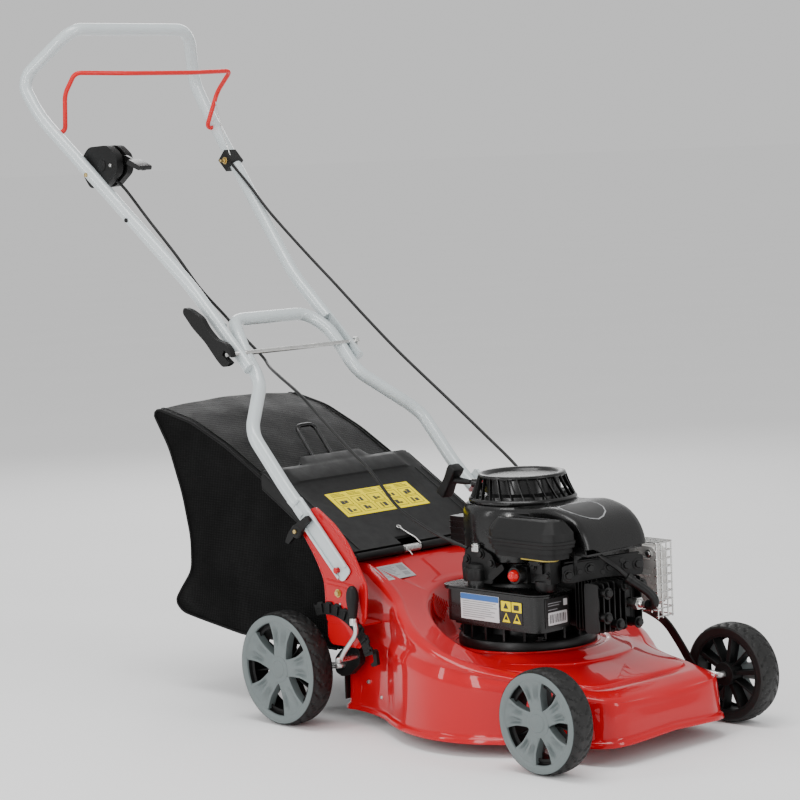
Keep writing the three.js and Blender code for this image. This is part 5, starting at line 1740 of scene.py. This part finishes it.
def make_bag():
    rows, columns = BAG_ROWS, BAG_COLUMNS
    shell = []
    for i in range(rows):
        t = i / (rows - 1)
        p = bag_station(t)
        ring = []
        for j in range(columns):
            v = -1 + 2 * j / (columns - 1)
            y = v * BAG_HALF
            away = 1 - v * v
            place = Vector((p.x, y, p.y))
            ends = min(1.0, t / 0.03, (1 - t) / 0.05)
            if t > ROOF_FROM:
                place.z += (8.5 * away**0.8 + 2.2 * slack(p.x, y * 1.2, 1.3) * away) * ends
            elif t > REAR_FROM:
                place.x += (-5 * away + 4 * slack(y * 1.4, p.y, 2.2) * away) * ends
            else:
                place.z += (-1.5 + 2.0 * slack(p.x, y, 3.1)) * away * ends * 0.4
            ring.append(place)
        shell.append(ring)
    top_points = [p for ring in shell for p in ring]
    faces = [
        (i * columns + j, i * columns + j + 1, (i + 1) * columns + j + 1, (i + 1) * columns + j)
        for i in range(rows - 1) for j in range(columns - 1)
    ]
    cloths = []
    # Side panels: a grid between the floor line and the roof line, bulging between its edges.
    for s in (-1, 1):
        nx, nz = 72, 44
        grid = []
        for i in range(nx + 1):
            u = i / nx
            row = []
            lower, upper = bag_lower(u), bag_upper(u)
            for j in range(nz + 1):
                v = j / nz
                p = lower.lerp(upper, v)
                edge = min(1.0, u / 0.05, (1 - u) / 0.05) * min(1.0, v / 0.07, (1 - v) / 0.07)
                wall = rear_wall(p.y)
                p.x = max(p.x, wall)
                edge = max(0.0, edge) * min(1.0, (p.x - wall) / 30)
                belly = 4.2 * math.sin(math.pi * v) ** 0.6 * math.sin(math.pi * min(1, u * 1.02)) ** 0.5
                crease = 3.4 * slack(p.x * 1.1, p.y * 0.55, 4.4 + s) + 1.6 * math.sin(
                    p.x * 0.052 + 0.6 * math.sin(p.y * 0.012)
                )
                dent = -7.0 * math.exp(
                    -(((p.x + 610) / 46) ** 2 + ((p.y - 225) / 50) ** 2)
                ) - 5 * math.exp(-(((p.x + 800) / 40) ** 2 + ((p.y - 300) / 95) ** 2))
                bulge = 5.0 * math.exp(-(((p.x + 862) / 46) ** 2 + ((p.y - 170) / 38) ** 2))
                out = (belly + crease + dent + bulge - 1.5) * edge
                row.append(Vector((p.x, s * (BAG_HALF + min(out, 8.5)), p.y)))
            grid.append(row)
        pts = [p for row in grid for p in row]
        w = nz + 1
        fcs = []
        for i in range(nx):
            for j in range(nz):
                quad = (i * w + j, (i + 1) * w + j, (i + 1) * w + j + 1, i * w + j + 1)
                fcs.append(quad if s < 0 else tuple(reversed(quad)))
        cloths.append((pts, fcs))
    top_edge, rim = [], []
    for s in (-1, 1):
        line = [
            Vector((bag_station(t).x, s * (BAG_HALF + 0.4), bag_station(t).y))
            for t in [k / 180 for k in range(1, 180)]
        ]
        top_edge.append(tube(line, 2.1, 10))
        inner = [Vector((p.x, s * (BAG_HALF - 9), p.z + 2.6)) for p in line[106:]]
        rim.append(tube(inner, 0.8, 8))
    hem = [
        tube([(-499, y0, z0), (-499, y1, z1)], 2.4, 12)
        for (y0, z0), (y1, z1) in (
            ((-148, 115), (148, 115)), ((148, 115), (148, 272)), ((148, 272), (-148, 272)),
            ((-148, 272), (-148, 115))
        )
    ]
    upper_faces, lower_faces = [], []
    for n, f in enumerate(faces):
        (upper_faces if n // (columns - 1) >= FIRST_ROOF_ROW else lower_faces).append(f)
    bag = show(
        "bag_shell", "bag", "cloth", (top_points, upper_faces), "mesh", (list(top_points), lower_faces), "mesh",
        merged(*cloths), "cloth", merged(*top_edge, *rim, *hem), nodes=["bag_fabric"], sharp=70
    )


def bag_lower(u):
    """The floor line of the side panels, from the mouth back to the lower rear corner and part of the way
    up."""
    return bag_station(0.47 * u)


def bag_upper(u):
    return bag_station(1 - 0.53 * u)


def make_bag_frame():
    r = 3.5
    low, high, half, front = 121, 258, 141, -503
    top = (-640, 345)
    bars = [
        rod((front, -half, low), (front, half, low), r, 16),
        rod((front, -half, high), (front, half, high), r, 16),
        rod((top[0], -half - 3, top[1]), (top[0], half + 3, top[1]), r, 16)
    ]
    for s in (-1, 1):
        bars += [
            tube(
                [
                    (-700, s * half, low + 2), (front, s * half, low), (front, s * half, high),
                    (top[0], s * half, top[1])
                ],
                r, 16, bend=8
            )
        ]
    loop = tube(
        [
            Vector(p)
            for p in (
                (-640, -20, 345), (-684, -20, 388), (-730, -20, 441), (-730, 20, 441), (-684, 20, 388),
                (-640, 20, 345)
            )
        ],
        r, 20, bend=14
    )
    show("bag_wire_frame", "bag", "gloss", merged(*bars, loop), nodes=["bag_frame"], sharp=60)
    feet = [
        lathe([(3.7, -1.2), (9, -1.2), (9.4, 0), (8.4, 1.4), (3.7, 2.4)], (0, 0, 0), "Z", 28) for _ in (0, 1)
    ]
    feet = [moved(turned(f, 40, "Y", (0, 0, 0)), -675, s * 20, 379.8) for f, s in zip(feet, (-1, 1))]
    show("bag_loop_grommets", "bag", "satin", merged(*feet), sharp=40)


# ---------------------------------------------------------------- handles
LOWER_HALF = [
    (-522, 185, 328), (-562, 184.5, 361), (-638, 185, 443), (-655, 174, 460), (-706, 112, 517),
    (-722, 105, 535), (-747, 104, 564), (-770, 98, 594), (-806, 80, 620), (-806, 0, 620),
]
UPPER_HALF = [
    (-721, 118.5, 545), (-757, 118, 579), (-870, 116, 680), (-911, 125, 719), (-1117, 173, 919),
    (-1172, 186, 972), (-1207, 189, 1022), (-1206, 183, 1046), (-1160, 142, 1102), (-1149, 118, 1120),
    (-1149, 0, 1121),
]
TIE, CAM_Y, CAM_TILT = (-740.0, 570.0), -148.3, 33.5
HANDLE_RADIUS = 11


def whole(half):
    points = [Vector(p) for p in half[:-1]]
    return [*points, *[Vector((p.x, -p.y, p.z)) for p in reversed(points)]]


NEAR_TUBE = sorted((Vector((x, -y, z)) for x, y, z in UPPER_HALF), key=lambda p: p.x)


def make_lower_handle():
    hoop = tube(whole(LOWER_HALF), HANDLE_RADIUS, 28, bend=30, steps=8)
    channel_line = [
        (-545, 338), (-524, 359), (-419, 254), (-417, 250), (-419, 246), (-431, 234), (-439, 234), (-512, 306)
    ]
    y = BRACKET_Y
    flat = plate(soft_outline(channel_line, 5), y + 1.7, y + 3.8, "XZ", [ring_of(4.6, (-443, 250))])
    lips = [tube([(-540, y + 5, 342), (-524, y + 5, 356.5), (-424, y + 5, 256.5)], 2.6, 12, bend=5),
            tube([(-514, y + 5, 309), (-441, y + 5, 237.5)], 2.6, 12)]
    parts = [hoop]
    neck = tube([(-528, y - 3.5, 334), (-536, y - 4, 340), (-552, y - 5, 352)], lambda t: 9.5 + 1.5 * t, 28)
    for flip in (lambda q: q, mirrored):
        parts.append(flip(merged(flat, *lips, neck)))
    show("lower_hoop", "lower_frame", "grey", merged(*parts), nodes=["lower_handle"], sharp=50)
    x, z = TIE
    threads = lathe(
        [
            (0, -151.2), (3.4, -151.2), (3.9, -150), (3.9, -146),
            *[(3.95 if k % 2 else 3.55, -146 + k * 0.9) for k in range(1, 40)], (3.9, -110), (3.9, 112),
            *[(3.95 if k % 2 else 3.6, 112 + k * 1.1) for k in range(1, 22)], (3.9, 136), (3.2, 138), (0, 138)
        ],
        (x, 0, z), "Y", 24
    )
    nut = lathe([(4.1, 130), (7.4, 130), (8, 131), (8, 134.6), (4.1, 134.8)], (x, 0, z), "Y", 6)
    show("tie_bolt", "lower_frame", "zinc", merged(threads, nut), nodes=["tie_rod"], sharp=35)


def make_upper_handle():
    line = rounded(whole(UPPER_HALF), 30, 9)
    dense = []
    for a, b in zip(line, line[1:]):
        n = max(1, int((b - a).length / 5))
        dense += [a.lerp(b, k / n) for k in range(n)]
    dense.append(line[-1])
    hoop = show(
        "upper_hoop", "upper_frame", "grey", tube(dense, HANDLE_RADIUS, 28), nodes=["upper_handle"], sharp=50
    )
    # Opens the lower end, so that the two long tubes end at the quick-release joint.
    box = turned(brick((-62, -116.8, -30), (62, 116.8, 30)), 43, "Y", (0, 0, 0))
    cut_with(hoop, moved(box, -746, 0, 568))


def make_cam():
    outline = [(-724, 566), (-731, 555), (-748, 549), (-762, 560), (-792, 590), (-822, 612), (-846, 636),
               (-843, 646), (-826, 642), (-800, 630), (-786, 612), (-764, 594), (-742, 590), (-729, 580)]
    shape = plate(soft_outline(outline, 7, 4), CAM_Y - 5.2, CAM_Y + 5.2)
    cam = show("cam_handle", "cam", "plastic", shape, nodes=["cam_lever"], sharp=35, edge=1.6, segments=3)
    slot = moved(
        turned(moved(brick((-15, -11, -5), (15, 11, 5)), 8, 3, 0), CAM_TILT, "Y", (0, 0, 0)), TIE[0], CAM_Y,
        TIE[1]
    )
    cut_with(cam, slot)


BAIL_HALF = [
    (-1141, 187, 944), (-1141, 156, 944), (-1120, 168, 1008), (-1092, 165, 1043), (-1066, 70, 1040),
    (-1064, 0, 1039)
]


def make_bail():
    line = whole(BAIL_HALF)
    for point in line:
        if point.y > 150 and point.z > 1030:
            point.x += 15
    wire = tube(rounded(line, 12, 7), 4.0, 22)
    show("bail_wire", "bail_body", "bail", wire, nodes=["bail"], sharp=60)


# ---------------------------------------------------------------- cables and controls
BRAKE_UPPER = [
    (-1068, 150, 878), (-1050, 147, 866), (-1010, 143, 836), (-959, 141, 791), (-875, 139, 727),
    (-790, 140, 663)
]
BRAKE_LOWER = [(-789.6, 140, 662.6), (-727, 150, 606), (-660, 160, 549), (-556, 167, 475), (-478, 168, 422),
               (-402, 165, 372), (-346, 145, 335), (-300, 116, 306), (-262, 102.5, 287)]
THROTTLE_UPPER = [
    (-1028, -137, 857), (-1012, -131, 842), (-965, -122, 790), (-912, -109, 730), (-869, -95, 673),
    (-835, -70, 624)
]
THROTTLE_LOWER = [
    (-834.8, -69.7, 623.6), (-800, -60, 588), (-755, -62, 559), (-716, -82, 546), (-655, -116, 537),
    (-560, -155, 514), (-500, -167, 482), (-440, -167, 438), (-392, -162, 401), (-352, -150, 351),
    (-318, -132, 322), (-285, -116, 302), (-248, -106, 289)
]
INNER_WIRE = [(-1066, 151, 880), (-1092, 158, 920), (-1114, 163, 965), (-1124, 165, 995)]


# Sheath, path, CAD node, the two bodies it joins, and the path points where the bend starts and ends.
CABLES = [
    ("brake_sheath_upper", BRAKE_UPPER, "brake_cable_upper", "upper_frame", "lower_frame", 3, 5),
    ("brake_sheath_lower", BRAKE_LOWER, "brake_cable_lower", "lower_frame", "chassis", 1, 5),
    ("throttle_sheath_upper", THROTTLE_UPPER, "throttle_cable_upper", "upper_frame", "lower_frame", 2, 5),
    ("throttle_sheath_lower", THROTTLE_LOWER, "throttle_cable_lower", "lower_frame", "chassis", 3, 8),
]


def length_of(line):
    """The length in metres of a line given in millimetres."""
    return sum((b - a).length for a, b in zip(line, line[1:])) / 1000


def make_cable(name, points, node, first, second, start, end):
    """A sheathed cable along a smooth line through its points."""
    line = smooth(points, 6)
    piece = show(name, None, "rubber", tube(line, 2.5, 16), nodes=[node], sharp=60)
    at(*start)
    at(*end)
    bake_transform(piece)
    at(*line[0])
    length_of(line)
    [at(*p) for p in line]


def make_cables():
    wire = smooth(INNER_WIRE, 5)
    for name, points, node, first, second, start, end in CABLES:
        make_cable(name, points, node, first, second, points[start], points[end])
    inner = show("brake_inner_wire", None, "zinc", tube(wire, 0.9, 10), sharp=60)
    at(*INNER_WIRE[1])
    at(*INNER_WIRE[3])
    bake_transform(inner)
    at(*wire[0])
    length_of(wire)
    [at(*p) for p in wire]
    clamp = merged(brick((-244, -101, 283), (-230, -96, 294)), bolt((-237, -98.5, 292), (0, 0, 1), 8, 4))
    show("throttle_cable_clamp", "chassis", "zinc", clamp, sharp=35, edge=0.5)
    stay = brick((-268, 97.6, 282), (-256, 105, 292))
    show("brake_cable_stay", "chassis", "zinc", stay, sharp=35, edge=0.5)


def make_anchor():
    """The block that ends the brake cable's sheath, and the two screws on the near tube."""
    x, y, z = -1083, 161, 884
    block = moved(turned(brick((-14.5, -13.4, -13), (14.5, 13.4, 13)), 44, "Y", (0, 0, 0)), x, y, z)
    screw = merged(rod((x, y - 12, z), (x, y - 25, z), 2.4, 16), bolt((x, y - 13.4, z), (0, -1, 0), 8, 5))
    heads = []
    for place in (-1066, -985):
        a, b = next((a, b) for a, b in zip(NEAR_TUBE, NEAR_TUBE[1:]) if a.x <= place <= b.x)
        spot = a.lerp(b, (place - a.x) / (b.x - a.x))
        heads.append(bolt(spot + Vector((0, -10.6, 0)), (0, -1, 0), 7, 3, False))
    show("cable_clamp", "upper_frame", "plastic", block, "brass", merged(screw, heads[0]), "satin", heads[1],
         nodes=["cable_anchor"], sharp=35, edge=1.6, segments=3)


THROTTLE_PIVOT = (-1046.0, 884.0)


def make_throttle():
    outline = [
        (-1100, 868), (-1082, 846), (-1040, 848), (-1004, 872), (-1004, 900), (-1030, 918), (-1082, 916),
        (-1100, 900)
    ]
    near = plate(soft_outline(outline, 9), -153, -139.4)
    far = plate(soft_outline(outline, 9), -130.6, -118)
    spine = plate(
        soft_outline([(-1098, 870), (-1082, 850), (-1067, 850), (-1067, 914), (-1082, 914), (-1098, 898)], 5),
        -140, -130
    )
    boss = lathe(
        [(0, -155.5), (8, -155.2), (10, -154), (10.5, -152), (0, -152)],
        (THROTTLE_PIVOT[0], 0, THROTTLE_PIVOT[1]), "Y", 32
    )
    screws = merged(
        bolt((-1088, -153, 880), (0, -1, 0), 6, 3, False), bolt((-1020, -153, 884), (0, -1, 0), 6, 3, False)
    )
    show(
        "throttle_case", "upper_frame", "plastic", merged(near, far, spine, boss), "zinc", screws,
        nodes=["throttle_housing"], sharp=35, edge=1.2
    )
    lever_line = [
        (-1054, 876), (-1040, 874), (-1000, 886), (-952, 872), (-948, 880), (-1000, 900), (-1040, 902),
        (-1054, 896)
    ]
    lever = plate(soft_outline(lever_line, 4), -137.6, -132.4)
    paddle = plate(soft_outline([(-986, 885), (-952, 873), (-948.6, 880), (-980, 893)], 3), -147, -121)
    show(
        "throttle_paddle", "throttle", "gloss", merged(lever, paddle), nodes=["throttle_lever"], sharp=35,
        edge=0.9
    )


# ---------------------------------------------------------------- the whole mower
def make_mower():
    make_deck()
    make_chute()
    for side, s in (("left", 1), ("right", -1)):
        make_bracket(side, s)
        make_wheel("front", side, s, *FRONT_WHEEL)
        make_wheel("rear", side, s, *REAR_WHEEL)
    make_axle("front_axle", "front_axle_body", (0, 76), (-40, 82), 229, 43, 162, 71)
    make_axle("rear_axle", "rear_axle_body", (-550, 89.3), (-470, 95), 236.6, 43, 176, 117)
    make_height_lever()
    make_link()
    make_cylinder()
    make_head()
    make_plug()
    make_lead()
    make_starter()
    make_fuel_side()
    make_carburettor()
    make_control_plate()
    make_filter()
    make_exhaust()
    make_brake_bracket()
    make_flap()
    make_bag()
    make_bag_frame()
    make_lower_handle()
    make_upper_handle()
    make_cam()
    make_bail()
    make_cables()
    make_anchor()
    make_throttle()


def paint_hidden_pieces():
    """The rotating parts under the deck and cowl keep their CAD shapes and get machined and cast surfaces."""
    looks = {
        "crankshaft": "steel", "blade": "steel", "blade_adapter": "steel", "blade_bolt": "zinc",
        "flywheel": "muffler", "starter_pulley": "plastic"
    }
    for name, look in looks.items():
        piece = bpy.data.objects.get(name)
        if piece:
            piece.data.materials.clear()
            piece.data.materials.append(LOOKS[look].material)


def make_floor():
    mesh = bpy.data.meshes.new("floor")
    mesh.from_pydata(
        [(x * FLOOR_HALF, y * FLOOR_HALF, 0) for x, y in ((-1, -1), (1, -1), (1, 1), (-1, 1))], [],
        [(0, 1, 2, 3)]
    )
    mesh.materials.append(LOOKS["floor"].material)
    floor = bpy.data.objects.new("floor", mesh)
    bpy.context.scene.collection.objects.link(floor)


make_camera()
make_studio()
make_floor()
make_mower()
paint_hidden_pieces()
